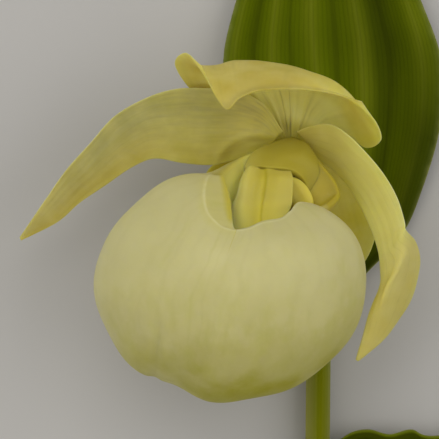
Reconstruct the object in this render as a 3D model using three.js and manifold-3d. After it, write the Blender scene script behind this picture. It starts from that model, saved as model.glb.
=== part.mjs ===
// A cut flowering stem of a yellow-green slipper orchid (Cypripedium), lying on its back.
// Millimetres. +Y runs up the plant, +Z is up from the surface that it lies on, and the flower faces +Z.
// While it is built, x = 0, y = 0 is the seat of the flower on its ovary and z = 0 is the surface.

import * as THREE from 'three';
import { mergeVertices } from 'three/addons/utils/BufferGeometryUtils.js';
import Module from 'manifold-3d';

// Driving dimensions.
const PETAL_THICKNESS = 0.6;
const LEAF_THICKNESS = 0.7;
const POUCH_WALL = 0.8;
const STEM_RADIUS = 2.35;
const STEM_HEIGHT = 3.35; // of the stem's axis, where the leaf sheath lifts it
const NODE_Y = -31.3; // where the stem ends and the ovary and the bract begin
const CUT_Y = -150;
const SHEATH_GAP = 0.4;
const SHEATH_WALL = 0.6;
const SHEATH_TOP_Y = -57.5;
const SHEATH_FOOT_Y = -98;
// Where the seat of the flower is, from the middle of the part's footprint.
const SEAT = [-38.063, 44.258, 0.04];

const wasm = await Module();
wasm.setup();

const point = ([x, y, z]) => new THREE.Vector3(x, y, z);
const number = (value) => new THREE.Vector3(value, 0, 0); // a plain number, for the curves below
const smooth = (t) => THREE.MathUtils.smoothstep(t, 0, 1);

// ---- curves and surfaces through points ----

// Point on the Catmull-Rom curve through the list, t from 0 to 1.
function alongCurve(points, t) {
  const spans = points.length - 1;
  const k = Math.min(Math.floor(t * spans), spans - 1);
  const beyond = (end, inner) => end.clone().multiplyScalar(2).sub(inner);
  const before = k > 0 ? points[k - 1] : beyond(points[0], points[1]);
  const after = k < spans - 1 ? points[k + 2] : beyond(points[spans], points[spans - 1]);
  return catmullRom(before, points[k], points[k + 1], after, t * spans - k);
}

// The same for a ring that closes on itself.
function aroundRing(points, t) {
  const n = points.length;
  const k = Math.floor(t * n);
  const at = (i) => points[(i + n) % n];
  return catmullRom(at(k - 1), at(k), at(k + 1), at(k + 2), t * n - k);
}

function catmullRom(a, b, c, d, w) {
  const weights = [
    ((2 - w) * w - 1) * w / 2,
    ((3 * w - 5) * w * w + 2) / 2,
    ((4 - 3 * w) * w + 1) * w / 2,
    (w - 1) * w * w / 2,
  ];
  const sum = new THREE.Vector3();
  [a, b, c, d].forEach((p, i) => sum.addScaledVector(p, weights[i]));
  return sum;
}

// 1 at 0, falling to 0 at 1 to either side.
function bump(t) {
  return smooth(1 - Math.abs(t));
}

// A grid of points on the surface through a net: rows run from the base of the blade to its tip,
// and each row lists points from one margin to the other.
function surfaceGrid(net, rows, columns) {
  const lines = net.map((row) => row.map(point));
  return Array.from({ length: rows + 1 }, (_, i) =>
    Array.from({ length: columns + 1 }, (_, j) =>
      alongCurve(lines.map((line) => alongCurve(line, j / columns)), i / rows)));
}

// Unit normals of a grid; a ring grid closes on itself along each row.
function gridNormals(grid, ring) {
  const rows = grid.length;
  const columns = grid[0].length;
  return grid.map((row, i) => row.map((_, j) => {
    const down = grid[Math.min(i + 1, rows - 1)][j].clone().sub(grid[Math.max(i - 1, 0)][j]);
    const next = ring ? (j + 1) % columns : Math.min(j + 1, columns - 1);
    const last = ring ? (j - 1 + columns) % columns : Math.max(j - 1, 0);
    return down.cross(row[next].clone().sub(row[last])).normalize();
  }));
}

function shifted(grid, normals, distance) {
  return grid.map((row, i) => row.map((p, j) => p.clone().addScaledVector(normals[i][j], distance(i, j))));
}

// A closed body from its points and triangles, with its faces turned outwards.
function closedBody(points, triangles) {
  const volume = triangles.reduce((sum, [a, b, c]) =>
    sum + points[a].dot(points[b].clone().cross(points[c])), 0);
  const faces = volume > 0 ? triangles : triangles.map(([a, b, c]) => [a, c, b]);
  const geometry = new THREE.BufferGeometry();
  geometry.setAttribute('position', new THREE.Float32BufferAttribute(points.flatMap((p) => p.toArray()), 3));
  geometry.setIndex(faces.flat());
  return geometry;
}

// A thin blade: the surface through the net, half its thickness to each side, with a rim all round.
// It is as thick as edge at its side margins. relief(u, v) lifts the surface along its normal, to fold it.
function blade(net, { rows, columns, thickness, edge = thickness, relief = () => 0 }) {
  const flat = surfaceGrid(net, rows, columns);
  const normals = gridNormals(flat, false);
  const depth = (v) => edge + (thickness - edge) * Math.sqrt(4 * v * (1 - v));
  const lift = (side) => (i, j) => relief(i / rows, j / columns) + side * depth(j / columns) / 2;
  const faces = [shifted(flat, normals, lift(1)), shifted(flat, normals, lift(-1))];
  const width = columns + 1;
  const layer = width * (rows + 1);
  const index = (side, i, j) => side * layer + i * width + j;
  const triangles = [];
  const quad = (a, b, c, d) => triangles.push([a, b, c], [a, c, d]);
  for (let i = 0; i < rows; i += 1) {
    for (let j = 0; j < columns; j += 1) {
      quad(index(0, i, j), index(0, i + 1, j), index(0, i + 1, j + 1), index(0, i, j + 1));
      quad(index(1, i, j), index(1, i, j + 1), index(1, i + 1, j + 1), index(1, i + 1, j));
    }
  }
  for (let i = 0; i < rows; i += 1) {
    quad(index(0, i, 0), index(1, i, 0), index(1, i + 1, 0), index(0, i + 1, 0));
    quad(index(0, i, columns), index(0, i + 1, columns), index(1, i + 1, columns), index(1, i, columns));
  }
  for (let j = 0; j < columns; j += 1) {
    quad(index(0, 0, j), index(0, 0, j + 1), index(1, 0, j + 1), index(1, 0, j));
    quad(index(0, rows, j), index(1, rows, j), index(1, rows, j + 1), index(0, rows, j + 1));
  }
  return closedBody(faces.flat(2), triangles);
}

// A round limb along a curve; its radius changes evenly through the list.
function limb(path, radii, { steps = 12, sides = 14 } = {}) {
  const centres = Array.from({ length: steps + 1 }, (_, i) => alongCurve(path.map(point), i / steps));
  const points = centres.flatMap((centre, i) => {
    const tangent = centres[Math.min(i + 1, steps)].clone().sub(centres[Math.max(i - 1, 0)]).normalize();
    const up = tangent.clone().cross(new THREE.Vector3(1, 0, 0)).normalize();
    const across = tangent.clone().cross(up);
    const radius = alongCurve(radii.map(number), i / steps).x;
    return Array.from({ length: sides }, (_, j) => {
      const angle = j / sides * 2 * Math.PI;
      return centre.clone().addScaledVector(up, radius * Math.cos(angle))
        .addScaledVector(across, radius * Math.sin(angle));
    });
  });
  const foot = points.push(centres[0]) - 1;
  const head = points.push(centres[steps]) - 1;
  const triangles = [];
  for (let j = 0; j < sides; j += 1) {
    const k = (j + 1) % sides;
    for (let i = 0; i < steps; i += 1) {
      const here = i * sides;
      triangles.push([here + j, here + k, here + sides + k], [here + j, here + sides + k, here + sides + j]);
    }
    triangles.push([foot, k, j], [head, steps * sides + j, steps * sides + k]);
  }
  return closedBody(points, triangles);
}

// An ellipsoid lying along a line from a to b, its width level.
function pod(a, b, width, depth) {
  const from = point(a);
  const to = point(b);
  const along = to.clone().sub(from);
  const side = along.clone().cross(new THREE.Vector3(0, 0, 1)).normalize();
  const up = side.clone().cross(along).normalize();
  const geometry = new THREE.SphereGeometry(1, 12, 8);
  geometry.scale(width / 2, along.length() / 2, depth / 2);
  geometry.applyMatrix4(new THREE.Matrix4().makeBasis(side, along.normalize(), up));
  geometry.translate(...from.add(to).multiplyScalar(0.5).toArray());
  return geometry;
}

function toManifold(geometry) {
  const bare = new THREE.BufferGeometry();
  bare.setAttribute('position', geometry.getAttribute('position'));
  bare.setIndex(geometry.getIndex());
  const merged = mergeVertices(bare, 1e-4);
  return new wasm.Manifold(new wasm.Mesh({
    numProp: 3,
    vertProperties: new Float32Array(merged.getAttribute('position').array),
    triVerts: new Uint32Array(merged.getIndex().array),
  }));
}

function fromManifold(solid) {
  const { vertProperties, triVerts } = solid.getMesh();
  const geometry = new THREE.BufferGeometry();
  geometry.setAttribute('position', new THREE.BufferAttribute(new Float32Array(vertProperties), 3));
  geometry.setIndex(new THREE.BufferAttribute(new Uint32Array(triVerts), 1));
  return geometry;
}

// ---- stem, ovary and leaves ----

const STEM_PATH = [
  [4.4, CUT_Y, STEM_RADIUS], [4.8, -120, STEM_HEIGHT - 0.4], [5.25, -90, STEM_HEIGHT],
  [5.55, -60, STEM_HEIGHT], [5.85, NODE_Y, STEM_HEIGHT],
];

function stem() {
  const section = new THREE.Shape().absarc(0, 0, STEM_RADIUS, 0, 2 * Math.PI);
  const path = new THREE.CatmullRomCurve3(STEM_PATH.map(point));
  return new THREE.ExtrudeGeometry(section, { steps: 16, curveSegments: 8, extrudePath: path });
}

// The ovary climbs from the end of the stem to the seat of the flower.
function ovary() {
  const path = [
    [5.85, NODE_Y + 0.5, 3.6], [5.3, -22, 4.8], [3.8, -13, 6.2], [1.6, -5, 8.8], [0.1, -0.5, 12.6],
  ];
  return limb(path, [1.7, 2.1, 2.2, 2.0, 1.7]);
}

// The leafy bract behind the flower: half width and middle of the blade from its base to its tip.
const BRACT = [
  { y: -30.9, middle: 5.7, half: 3.1, height: 0.6, rise: 3.4 },
  { y: -24.4, middle: 7.6, half: 6.6, height: 0.8, rise: 2.4 },
  { y: -16.5, middle: 9.8, half: 11.8, height: 1.0, rise: 1.6 },
  { y: -8, middle: 9.6, half: 15.8, height: 1.3, rise: 1.8 },
  { y: 4, middle: 9.0, half: 19.8, height: 1.4, rise: 2.6 },
  { y: 16, middle: 8.4, half: 20.7, height: 1.4, rise: 3.0 },
  { y: 26, middle: 7.8, half: 18.2, height: 1.4, rise: 2.4 },
  { y: 36, middle: 7.2, half: 14.2, height: 1.3, rise: 1.8 },
  { y: 46, middle: 6.8, half: 9.6, height: 1.1, rise: 1.2 },
  { y: 55, middle: 6.4, half: 4.6, height: 0.9, rise: 0.6 },
  { y: 61.5, middle: 6.2, half: 0.5, height: 0.8, rise: 0.1 },
];
// Its pleats: at each share of the blade's width, how many turns the pleating has made. There is a furrow at
// each whole turn.
const BRACT_PLEATS = [
  [0, -0.8], [0.053, -0.5], [0.168, 0], [0.327, 1], [0.522, 2], [0.73, 3], [0.9, 3.5], [1, 3.75],
];
const BRACT_PLEAT_HEIGHT = 0.45;
const LEAF_PLEATS = 6;
const LEAF_PLEAT_HEIGHT = 0.75;
const LEAF_HEIGHT = 1.4; // of the middle of the lower leaf above the surface

function bractTurn(v) {
  const next = Math.max(BRACT_PLEATS.findIndex(([share]) => share >= v), 1);
  const [[from, first], [to, last]] = BRACT_PLEATS.slice(next - 1);
  return THREE.MathUtils.mapLinear(v, from, to, first, last);
}

function bract() {
  const across = [-1, -0.55, 0, 0.55, 1];
  const net = BRACT.map(({ y, middle, half, height, rise }) =>
    across.map((s) => [middle + s * half, y - 1.5 * s * s * (half > 4 ? 1 : 0), height + rise * s * s]));
  const relief = (u, v) => BRACT_PLEAT_HEIGHT * Math.cos(2 * Math.PI * bractTurn(v))
    * smooth(u * 4 - 0.4) * smooth((1 - u) * 6);
  return blade(net, { rows: 16, columns: 36, thickness: LEAF_THICKNESS, relief });
}

// The leaf below the flower: its lower and upper margin, from the sheath to the tip.
const LEAF_MARGINS = [
  { lower: [8.15, -93], upper: [8.4, -58] },
  { lower: [17, -102], upper: [12, -55.4] },
  { lower: [24, -106.5], upper: [15.4, -54.8] },
  { lower: [30, -109], upper: [19.2, -55.7] },
  { lower: [37, -111.5], upper: [23.4, -54.8] },
  { lower: [45, -112], upper: [28, -56] },
  { lower: [59, -110], upper: [44, -53.5] },
  { lower: [80, -99], upper: [64, -48] },
  { lower: [100, -81], upper: [84, -41.5] },
  { lower: [115, -59], upper: [104, -36.5] },
  { lower: [126.5, -34.6], upper: [126, -33.6] },
];

function lowerLeaf() {
  const across = [0, 0.25, 0.5, 0.75, 1];
  const net = LEAF_MARGINS.map(({ lower, upper }, row) => across.map((s) => {
    const rise = row === 0 ? 1.6 : 2.2 * (2 * s - 1) ** 2 * (row < 10 ? 1 : 0);
    return [
      THREE.MathUtils.lerp(lower[0], upper[0], s), THREE.MathUtils.lerp(lower[1], upper[1], s),
      LEAF_HEIGHT + rise,
    ];
  }));
  const relief = (u, v) => LEAF_PLEAT_HEIGHT * Math.cos(2 * Math.PI * LEAF_PLEATS * (v - 0.5))
    * smooth(u * 5) * smooth((1 - u) * 5);
  const spread = blade(net, { rows: 16, columns: 24, thickness: LEAF_THICKNESS, relief });
  const inner = STEM_RADIUS + SHEATH_GAP;
  const ring = new THREE.Shape().absarc(0, 0, inner + SHEATH_WALL, 0, 2 * Math.PI);
  ring.holes.push(new THREE.Path().absarc(0, 0, inner, 0, 2 * Math.PI));
  const axis = new THREE.LineCurve3(
    new THREE.Vector3(5.15, SHEATH_FOOT_Y, STEM_HEIGHT), new THREE.Vector3(5.6, SHEATH_TOP_Y, STEM_HEIGHT));
  const sheath = new THREE.ExtrudeGeometry(ring, { steps: 4, curveSegments: 8, extrudePath: axis });
  return fromManifold(toManifold(spread).add(toManifold(sheath)));
}

// ---- sepals and petals ----

// Each net's rows run from the base of the blade to its far margin, and its columns from left to right.
const DORSAL_SEPAL = [
  [[-3.2, -0.8, 14.3], [-2.2, -0.4, 14.2], [-1.1, -0.2, 14.1], [0, -0.1, 14.1], [1.1, -0.2, 14.1],
    [2.2, -0.4, 14.2], [3.2, -0.8, 14.3]],
  [[-12.2, 4.6, 15.6], [-9.3, 5.6, 15.8], [-5.2, 5.8, 16], [-0.9, 6.5, 16.4], [2.8, 5.6, 16],
    [5.9, 4.2, 15.4], [9.0, 1.6, 14.8]],
  [[-18.0, 9.0, 18.6], [-13.2, 8.8, 19], [-8.3, 9.8, 19.6], [-1.8, 10.2, 20], [3.9, 9.6, 19.6],
    [9.6, 6.8, 18], [14.1, -1.6, 17]],
  [[-21.3, 13.6, 26], [-14.6, 13.2, 27.5], [-9.6, 14.1, 27], [-3.0, 13.7, 26], [3.6, 12.1, 25.4],
    [10.5, 8.8, 23], [17.0, -0.4, 20.4]],
  [[-19.4, 15.6, 31], [-13.7, 10.6, 35.5], [-10, 11.6, 35], [-4.4, 12.2, 34], [2.6, 11.4, 32.5],
    [9.6, 8.4, 28.5], [16.2, 2.6, 23.7]],
  [[-16.4, 13.2, 34.5], [-12.2, 5.2, 40], [-9.4, 7.0, 40.5], [-5.6, 8.4, 39.5], [1.6, 8.7, 37.5],
    [8.0, 8.0, 33], [13.2, 6.8, 27.5]],
];

const SYNSEPAL = [
  [[-2.4, -3.2, 13.0], [-1.2, -3.5, 13.0], [0, -3.6, 13.0], [1.2, -3.5, 13.0], [2.4, -3.2, 13.0]],
  [[-14.2, -4.8, 11.6], [-7, -5.6, 11.9], [0, -6.4, 11.8], [6, -5.8, 11.9], [11.1, -4.6, 11.6]],
  [[-16.0, -11.4, 9.8], [-8, -12.4, 10.2], [0, -13, 10.2], [8, -12.6, 10.2], [15, -11, 9.8]],
  [[-15.7, -19.4, 7.5], [-8, -20.4, 8.2], [0.5, -20.9, 8.6], [9, -20.2, 8.2], [16.4, -18.2, 8.0]],
  [[-11.5, -29, 6.2], [-5.5, -29.7, 6.5], [0.5, -30, 6.9], [6, -29, 7.0], [11.6, -26.6, 7.2]],
  [[-4.4, -38.6, 6.6], [-4, -39.0, 6.6], [-3.6, -39.2, 6.6], [-3.2, -39.2, 6.6], [-2.8, -38.8, 6.6]],
];

// Upper margin, middle and lower margin of the left petal, from its base to its tip.
const PETAL_LEFT = [
  [[-1.2, 1.4, 16.8], [-2.4, 0.4, 16.4], [-3.2, -1.4, 16.0]],
  [[-5.0, 6.6, 18.8], [-5.8, 2.0, 17.6], [-5.6, -2.4, 16.0]],
  [[-10.2, 9.0, 21.2], [-10.0, 2.6, 19], [-9.6, -4.1, 16.6]],
  [[-15.9, 9.3, 22.6], [-15.2, 2.6, 20.2], [-14.4, -4.9, 17.4]],
  [[-21.5, 9.1, 22.8], [-20.8, 2.6, 20.6], [-19.8, -4.5, 18]],
  [[-27.0, 7.4, 21.6], [-26.2, 2.2, 19.8], [-25.2, -3.7, 17.8]],
  [[-32.6, 4.2, 20.0], [-31.2, -0.6, 18.6], [-29.6, -5.4, 16.8]],
  [[-37.4, -1.0, 18.4], [-36.0, -4.8, 17.6], [-34.3, -8.6, 16.6]],
  [[-41.7, -5.8, 18.0], [-40.6, -9, 17.4], [-39.3, -12.0, 16.6]],
  [[-45.8, -11.7, 18.6], [-44.8, -13.8, 18.2], [-43.4, -15.6, 17.6]],
  [[-50.3, -18.4, 20.0], [-50.2, -18.7, 20.0], [-50.0, -19.0, 20.0]],
];

// Inner margin to outer margin of the right petal. A ridge crosses it from the outer margin to the inner one.
const PETAL_RIGHT = [
  [[3.3, -1.6, 15.6], [3.2, -0.9, 15.9], [2.8, -0.1, 16.2], [2.2, 0.7, 16.5], [1.4, 1.4, 16.8]],
  [[5.4, -3.6, 15.3], [5.3, -2.0, 16.6], [5.2, -0.4, 17.8], [5.1, 1.2, 19], [5.0, 2.6, 20]],
  [[8.4, -6.0, 15.2], [8.4, -3.8, 17], [8.3, -1.6, 18.8], [8.2, 0.7, 20.6], [8.2, 2.4, 22]],
  [[11.0, -8.9, 16.2], [11.0, -6.6, 18], [11.0, -4.2, 20], [11.0, -1.8, 22], [11.2, 0.3, 23.4]],
  [[12.8, -11.9, 18], [13.2, -9.6, 19.4], [13.6, -7.4, 21.2], [14, -5, 23], [14.3, -2.9, 24.4]],
  [[14.2, -14.6, 20], [15, -12.6, 21], [15.8, -10.6, 22.4], [16.6, -8.6, 24], [17.5, -6.8, 25.2]],
  [[15.5, -17.6, 21.6], [16.5, -15.9, 22.4], [17.6, -14.2, 23.4], [18.7, -12.6, 24.6], [19.9, -11, 25.6]],
  [[16.4, -20.6, 22.6], [17.5, -19.2, 23.4], [18.8, -17.8, 24.3], [20.1, -16.4, 25.2], [21.2, -15.2, 25.8]],
  [[16.7, -22.4, 23.0], [17.9, -21.2, 24.0], [19.2, -20.0, 25.0], [20.5, -18.6, 25.8], [21.5, -17.0, 26.0]],
  [[16.8, -24.4, 23.6], [18.4, -23.4, 24.8], [20.6, -21.8, 26.0], [22.1, -20.4, 24.6], [23.3, -19.1, 22.6]],
  [[16.9, -26.6, 24.0], [18.2, -25.8, 25.2], [19.8, -24.6, 26.0], [22.3, -23.4, 23.6], [24.2, -22.2, 21.0]],
  [[16.4, -28.6, 24.3], [17.3, -28.0, 25.2], [18.6, -27.0, 25.7], [21.6, -26.4, 22.8], [24.0, -25.4, 19.9]],
  [[15.4, -30.6, 24.4], [16.3, -30.4, 25.0], [17.6, -30.2, 25.0], [20.6, -29.9, 22.0], [23.0, -29.2, 19.2]],
  [[14.5, -33.0, 24.0], [15.6, -33.2, 24.0], [17.0, -33.4, 23.2], [19.2, -33.4, 21.0], [21.0, -33.0, 18.8]],
  [[13.5, -37, 22.6], [14.4, -37.3, 22.2], [15.5, -37.5, 21.4], [16.7, -37.5, 20.2], [17.8, -37.3, 19]],
  [[12.3, -41.1, 21], [12.45, -41.3, 20.9], [12.6, -41.4, 20.8], [12.8, -41.4, 20.7], [13.0, -41.3, 20.6]],
];

// ---- the pouch ----

const POUCH_CENTRE = new THREE.Vector3(-11.1, -28.1, 27);
const POUCH_FRONT = 21; // depth of the belly in front of the centre
const POUCH_BACK = 18;
const POUCH_RECEDE = 0.3; // how much the belly falls back towards the mouth
// Radius of the outline seen from the front, every 20 degrees from +X towards +Y.
const POUCH_OUTLINE = [
  24.7, 25.0, 23.1, 19.9, 20.2, 21.9, 23.1, 23.4, 24.5, 24.9, 23.6, 22.4, 19.9, 20.6, 20.3, 21.0, 22.0, 23.7,
];
const POUCH_FOOT = new THREE.Vector3(-0.25, -0.95, -0.15).normalize();
const WAIST_DEPTH = 0.2; // how far the wall draws in just under the right wing, as a share of the radius
const WAIST_TURN = 8.2; // where along the mouth's list that is
// The mouth from the left end of its front over the right, back and left. At each point: its rim; the edge
// to which the margin turns in from there; the share of the way to the foot over which the rim's own shape
// fades out; and how far the wall there swings round the back of the pouch on its way to the foot.
const MOUTH = [
  { rim: [-10.0, -17.3, 42.6], fold: [-9.9, -17.2, 42.0], blend: 0.22, bend: 0 },
  { rim: [-7.6, -16.9, 41.5], fold: [-7.5, -16.7, 40.9], blend: 0.22, bend: 0 },
  { rim: [-5.2, -15.9, 39.9], fold: [-5.0, -15.6, 39.2], blend: 0.22, bend: 0 },
  { rim: [-1.9, -15.3, 37.9], fold: [-1.7, -15.0, 37.2], blend: 0.22, bend: 0 },
  { rim: [0.0, -13.9, 35.8], fold: [0.2, -13.6, 35.0], blend: 0.2, bend: 0 },
  { rim: [1.3, -12.3, 32.6], fold: [1.6, -12.6, 31.2], blend: 0.18, bend: 0 },
  { rim: [3.5, -12.3, 29.5], fold: [3.0, -13.6, 27.6], blend: 0.14, bend: 0.1 },
  { rim: [5.7, -13.0, 26.2], fold: [3.8, -15.3, 23.8], blend: 0.1, bend: 0.4 },
  { rim: [8.7, -10.9, 23.2], fold: [2.6, -14.2, 21.8], blend: 0.07, bend: 0.9 },
  { rim: [8.6, -8.9, 22.2], fold: [0.8, -12.2, 21.2], blend: 0.07, bend: 0.8 },
  { rim: [6.9, -6.4, 21.1], fold: [0.4, -9.6, 20.8], blend: 0.09, bend: 0.6 },
  { rim: [4.4, -3.6, 19.9], fold: [0.8, -7.0, 20.0], blend: 0.12, bend: 0.4 },
  { rim: [2.6, -2.5, 18.0], fold: [0.8, -5.4, 18.6], blend: 0.14, bend: 0.2 },
  { rim: [0.2, -3.2, 16.6], fold: [-0.6, -5.2, 17.4], blend: 0.15, bend: 0.1 },
  { rim: [-3.5, -2.5, 18.6], fold: [-2.4, -6.4, 18.2], blend: 0.13, bend: 0.2 },
  { rim: [-7.2, -3.1, 22.6], fold: [-4.8, -9.0, 20.2], blend: 0.12, bend: 0.4 },
  { rim: [-10.2, -4.8, 25.6], fold: [-8.0, -12.6, 25.4], blend: 0.11, bend: 0.6 },
  { rim: [-12.9, -7.2, 28.0], fold: [-10.6, -16.4, 28.4], blend: 0.1, bend: 0.6 },
  { rim: [-14.6, -7.1, 30.0], fold: [-12.5, -7.6, 28.8], blend: 0.14, bend: 0.2 },
  { rim: [-15.6, -8.5, 33.8], fold: [-11.7, -9.6, 32.2], blend: 0.22, bend: 0 },
  { rim: [-15.9, -11.3, 38.4], fold: [-11.1, -12.2, 35.6], blend: 0.22, bend: 0 },
  { rim: [-15.2, -14.1, 41.2], fold: [-10.9, -14.4, 38.6], blend: 0.22, bend: 0 },
  { rim: [-13.1, -16.3, 42.6], fold: [-10.7, -16.2, 41.0], blend: 0.22, bend: 0 },
  { rim: [-11.5, -17.0, 42.8], fold: [-10.5, -16.9, 41.8], blend: 0.22, bend: 0 },
];

function outlineRadius(x, y) {
  const turn = (Math.atan2(y, x) / (2 * Math.PI) + 1) % 1;
  return aroundRing(POUCH_OUTLINE.map(number), turn).x;
}

function pouchDepth(height, depthways) {
  const fallBack = 1 - POUCH_RECEDE * smooth((height - 0.2) / 0.8);
  return depthways > 0 ? POUCH_FRONT * fallBack : POUCH_BACK;
}

// From the unit ball to the pouch, and back.
function ballToPouch(q) {
  const radius = outlineRadius(q.x, q.y);
  return new THREE.Vector3(q.x * radius, q.y * radius, q.z * pouchDepth(q.y, q.z)).add(POUCH_CENTRE);
}

function pouchToBall(p) {
  const offset = p.clone().sub(POUCH_CENTRE);
  const radius = outlineRadius(offset.x, offset.y);
  const y = offset.y / radius;
  return new THREE.Vector3(offset.x / radius, y, offset.z / pouchDepth(y, offset.z));
}

// Rows run from the turned-in edge of the mouth, over the rim and down the wall to near the foot.
function pouchGrid(rows, columns, foldRows) {
  const rims = MOUTH.map(({ rim }) => point(rim));
  const folds = MOUTH.map(({ fold }) => point(fold));
  const blends = MOUTH.map(({ blend }) => number(blend));
  const bends = MOUTH.map(({ bend }) => number(bend));
  const lines = Array.from({ length: columns }, (_, j) => {
    const edge = aroundRing(rims, j / columns);
    const folded = aroundRing(folds, j / columns);
    const blend = aroundRing(blends, j / columns).x;
    const bend = aroundRing(bends, j / columns).x;
    const q = pouchToBall(edge);
    const start = q.clone().normalize();
    const axis = start.clone().cross(POUCH_FOOT).normalize();
    const sweep = start.angleTo(POUCH_FOOT);
    const line = Array.from({ length: foldRows }, (_, i) => folded.clone().lerp(edge, i / foldRows));
    for (let i = 0; i < rows; i += 1) {
      const s = (i / rows) ** 1.25;
      const narrowing = bump((MOUTH.length * j / columns - WAIST_TURN) / 2) * bump((s - 0.04) / 0.04);
      const own = (1 - smooth(s / blend)) * (q.length() - 1) - WAIST_DEPTH * narrowing;
      const way = start.clone().applyAxisAngle(axis, sweep * s);
      way.z -= bend * smooth(s * 6) * (1 - s);
      line.push(ballToPouch(way.setLength(1 + own)));
    }
    return line;
  });
  return lines[0].map((_, i) => lines.map((line) => line[i]));
}

// The lip: an inflated pouch with a thin wall, open at its mouth.
function lipPouch() {
  const grid = pouchGrid(20, 72, 3);
  const normals = gridNormals(grid, true);
  const walls = [1, -1].map((side) => shifted(grid, normals, () => side * POUCH_WALL / 2));
  const foot = ballToPouch(POUCH_FOOT);
  const down = foot.clone().sub(POUCH_CENTRE).normalize();
  const outward = Math.sign(normals.at(-1)[0].dot(down));
  const columns = grid[0].length;
  const rows = grid.length;
  const points = walls.flat(2);
  const tips = [1, -1].map((side) =>
    points.push(foot.clone().addScaledVector(down, side * outward * POUCH_WALL / 2)) - 1);
  const index = (side, i, j) => (side * rows + i) * columns + j % columns;
  const triangles = [];
  const quad = (a, b, c, d) => triangles.push([a, b, c], [a, c, d]);
  for (let j = 0; j < columns; j += 1) {
    for (let i = 0; i < rows - 1; i += 1) {
      quad(index(0, i, j), index(0, i + 1, j), index(0, i + 1, j + 1), index(0, i, j + 1));
      quad(index(1, i, j), index(1, i, j + 1), index(1, i + 1, j + 1), index(1, i + 1, j));
    }
    quad(index(0, 0, j), index(0, 0, j + 1), index(1, 0, j + 1), index(1, 0, j));
    triangles.push([index(0, rows - 1, j), tips[0], index(0, rows - 1, j + 1)]);
    triangles.push([index(1, rows - 1, j), index(1, rows - 1, j + 1), tips[1]]);
  }
  return closedBody(points, triangles);
}

// ---- the column and what it carries ----

const STAMINODE = [
  [[-8.5, -6.7, 26.0], [-7.4, -5.4, 26.6], [-6.3, -5.6, 26.4], [-5.2, -6.1, 26.7], [-4.1, -5.9, 26.2],
    [-1.9, -6.3, 26.8], [0.2, -6.3, 26.6]],
  [[-9.2, -8.1, 28.0], [-8.1, -7.8, 28.5], [-6.7, -7.8, 28.4], [-5.2, -7.8, 28.7], [-4.1, -7.8, 28.2],
    [-1.9, -7.6, 28.8], [0.5, -7.8, 28.6]],
  [[-9.8, -10.4, 29.4], [-8.5, -10.4, 29.9], [-7.0, -10.4, 29.8], [-5.6, -10.4, 30.1], [-4.5, -10.4, 29.6],
    [-2.2, -10.4, 30.2], [0.4, -10.5, 30.0]],
  [[-10.8, -13.0, 30.5], [-9.1, -13.1, 31.1], [-7.6, -13.3, 31.0], [-5.9, -13.3, 31.3], [-5.0, -13.1, 30.8],
    [-2.8, -13.0, 31.4], [0.2, -12.6, 31.1]],
  [[-11.0, -17.2, 33.2], [-9.1, -17.3, 33.8], [-7.4, -17.2, 33.8], [-6.1, -17.0, 34.0], [-5.2, -16.8, 33.6],
    [-3.3, -16.3, 34.0], [-1.1, -15.4, 33.4]],
];
const STAMINODE_THICKNESS = 0.8;

// The column rises from the seat of the flower and broadens into a hood behind the staminode. Its margins are
// thin and lie on the wings of the pouch.
const COLUMN = [
  [[-1.9, -1.2, 14.9], [-0.9, -0.8, 15.2], [0.1, -0.7, 15.3], [1.1, -0.8, 15.2], [2.1, -1.2, 14.9]],
  [[-2.8, -1.4, 18.8], [-1.6, -1.4, 19.4], [-0.1, -1.3, 19.6], [1.5, -1.3, 19.2], [3.0, -1.4, 18.3]],
  [[-5.4, -2.4, 21.6], [-3.2, -2.8, 22.0], [-0.9, -2.9, 22.2], [1.6, -3.0, 21.7], [3.6, -3.3, 20.7]],
  [[-6.2, -4.0, 23.3], [-4.0, -4.4, 23.9], [-1.8, -4.6, 24.1], [0.9, -4.8, 22.9], [3.6, -5.6, 21.3]],
  [[-5.9, -5.6, 24.8], [-4.1, -6.0, 25.4], [-2.0, -6.1, 25.4], [0.4, -6.5, 24.4], [3.2, -7.5, 22.2]],
];
const COLUMN_THICKNESS = 2.2;
const COLUMN_EDGE = 0.5;

// ---- the whole flowering stem ----

const LOOKS = {
  stem: { color: '#6f7a24', roughness: 0.5 },
  leaf: { color: '#4f6316', roughness: 0.5 },
  petal: { color: '#c8c07a', roughness: 0.55 },
  pouch: { color: '#d3cb97', roughness: 0.5 },
  column: { color: '#bdb455', roughness: 0.5 },
};

const petal = { rows: 22, columns: 6, thickness: PETAL_THICKNESS };
const column = { rows: 12, columns: 14, thickness: COLUMN_THICKNESS, edge: COLUMN_EDGE };
const PIECES = [
  ['stem', 'stem', stem()],
  ['ovary', 'stem', ovary()],
  ['bract', 'leaf', bract()],
  ['lower_leaf', 'leaf', lowerLeaf()],
  ['dorsal_sepal', 'petal', blade(DORSAL_SEPAL, { rows: 16, columns: 20, thickness: PETAL_THICKNESS })],
  ['synsepal', 'petal', blade(SYNSEPAL, { rows: 14, columns: 10, thickness: PETAL_THICKNESS })],
  ['petal_left', 'petal', blade(PETAL_LEFT, petal)],
  ['petal_right', 'petal', blade(PETAL_RIGHT, { ...petal, rows: 28, columns: 8 })],
  ['lip_pouch', 'pouch', lipPouch()],
  ['column', 'column', blade(COLUMN, column)],
  ['staminode', 'column', blade(STAMINODE, { rows: 10, columns: 18, thickness: STAMINODE_THICKNESS })],
  ['anther_left', 'column', pod([-5.6, -7.0, 25.6], [-8.2, -12.6, 27.6], 2.2, 1.7)],
  ['anther_right', 'column', pod([-0.5, -7.4, 24.0], [3.7, -14.0, 24.0], 4.6, 1.7)],
  ['stigma', 'column', pod([-1.8, -5.2, 21.0], [-3.8, -11.0, 22.8], 4.2, 1.6)],
];

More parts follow.
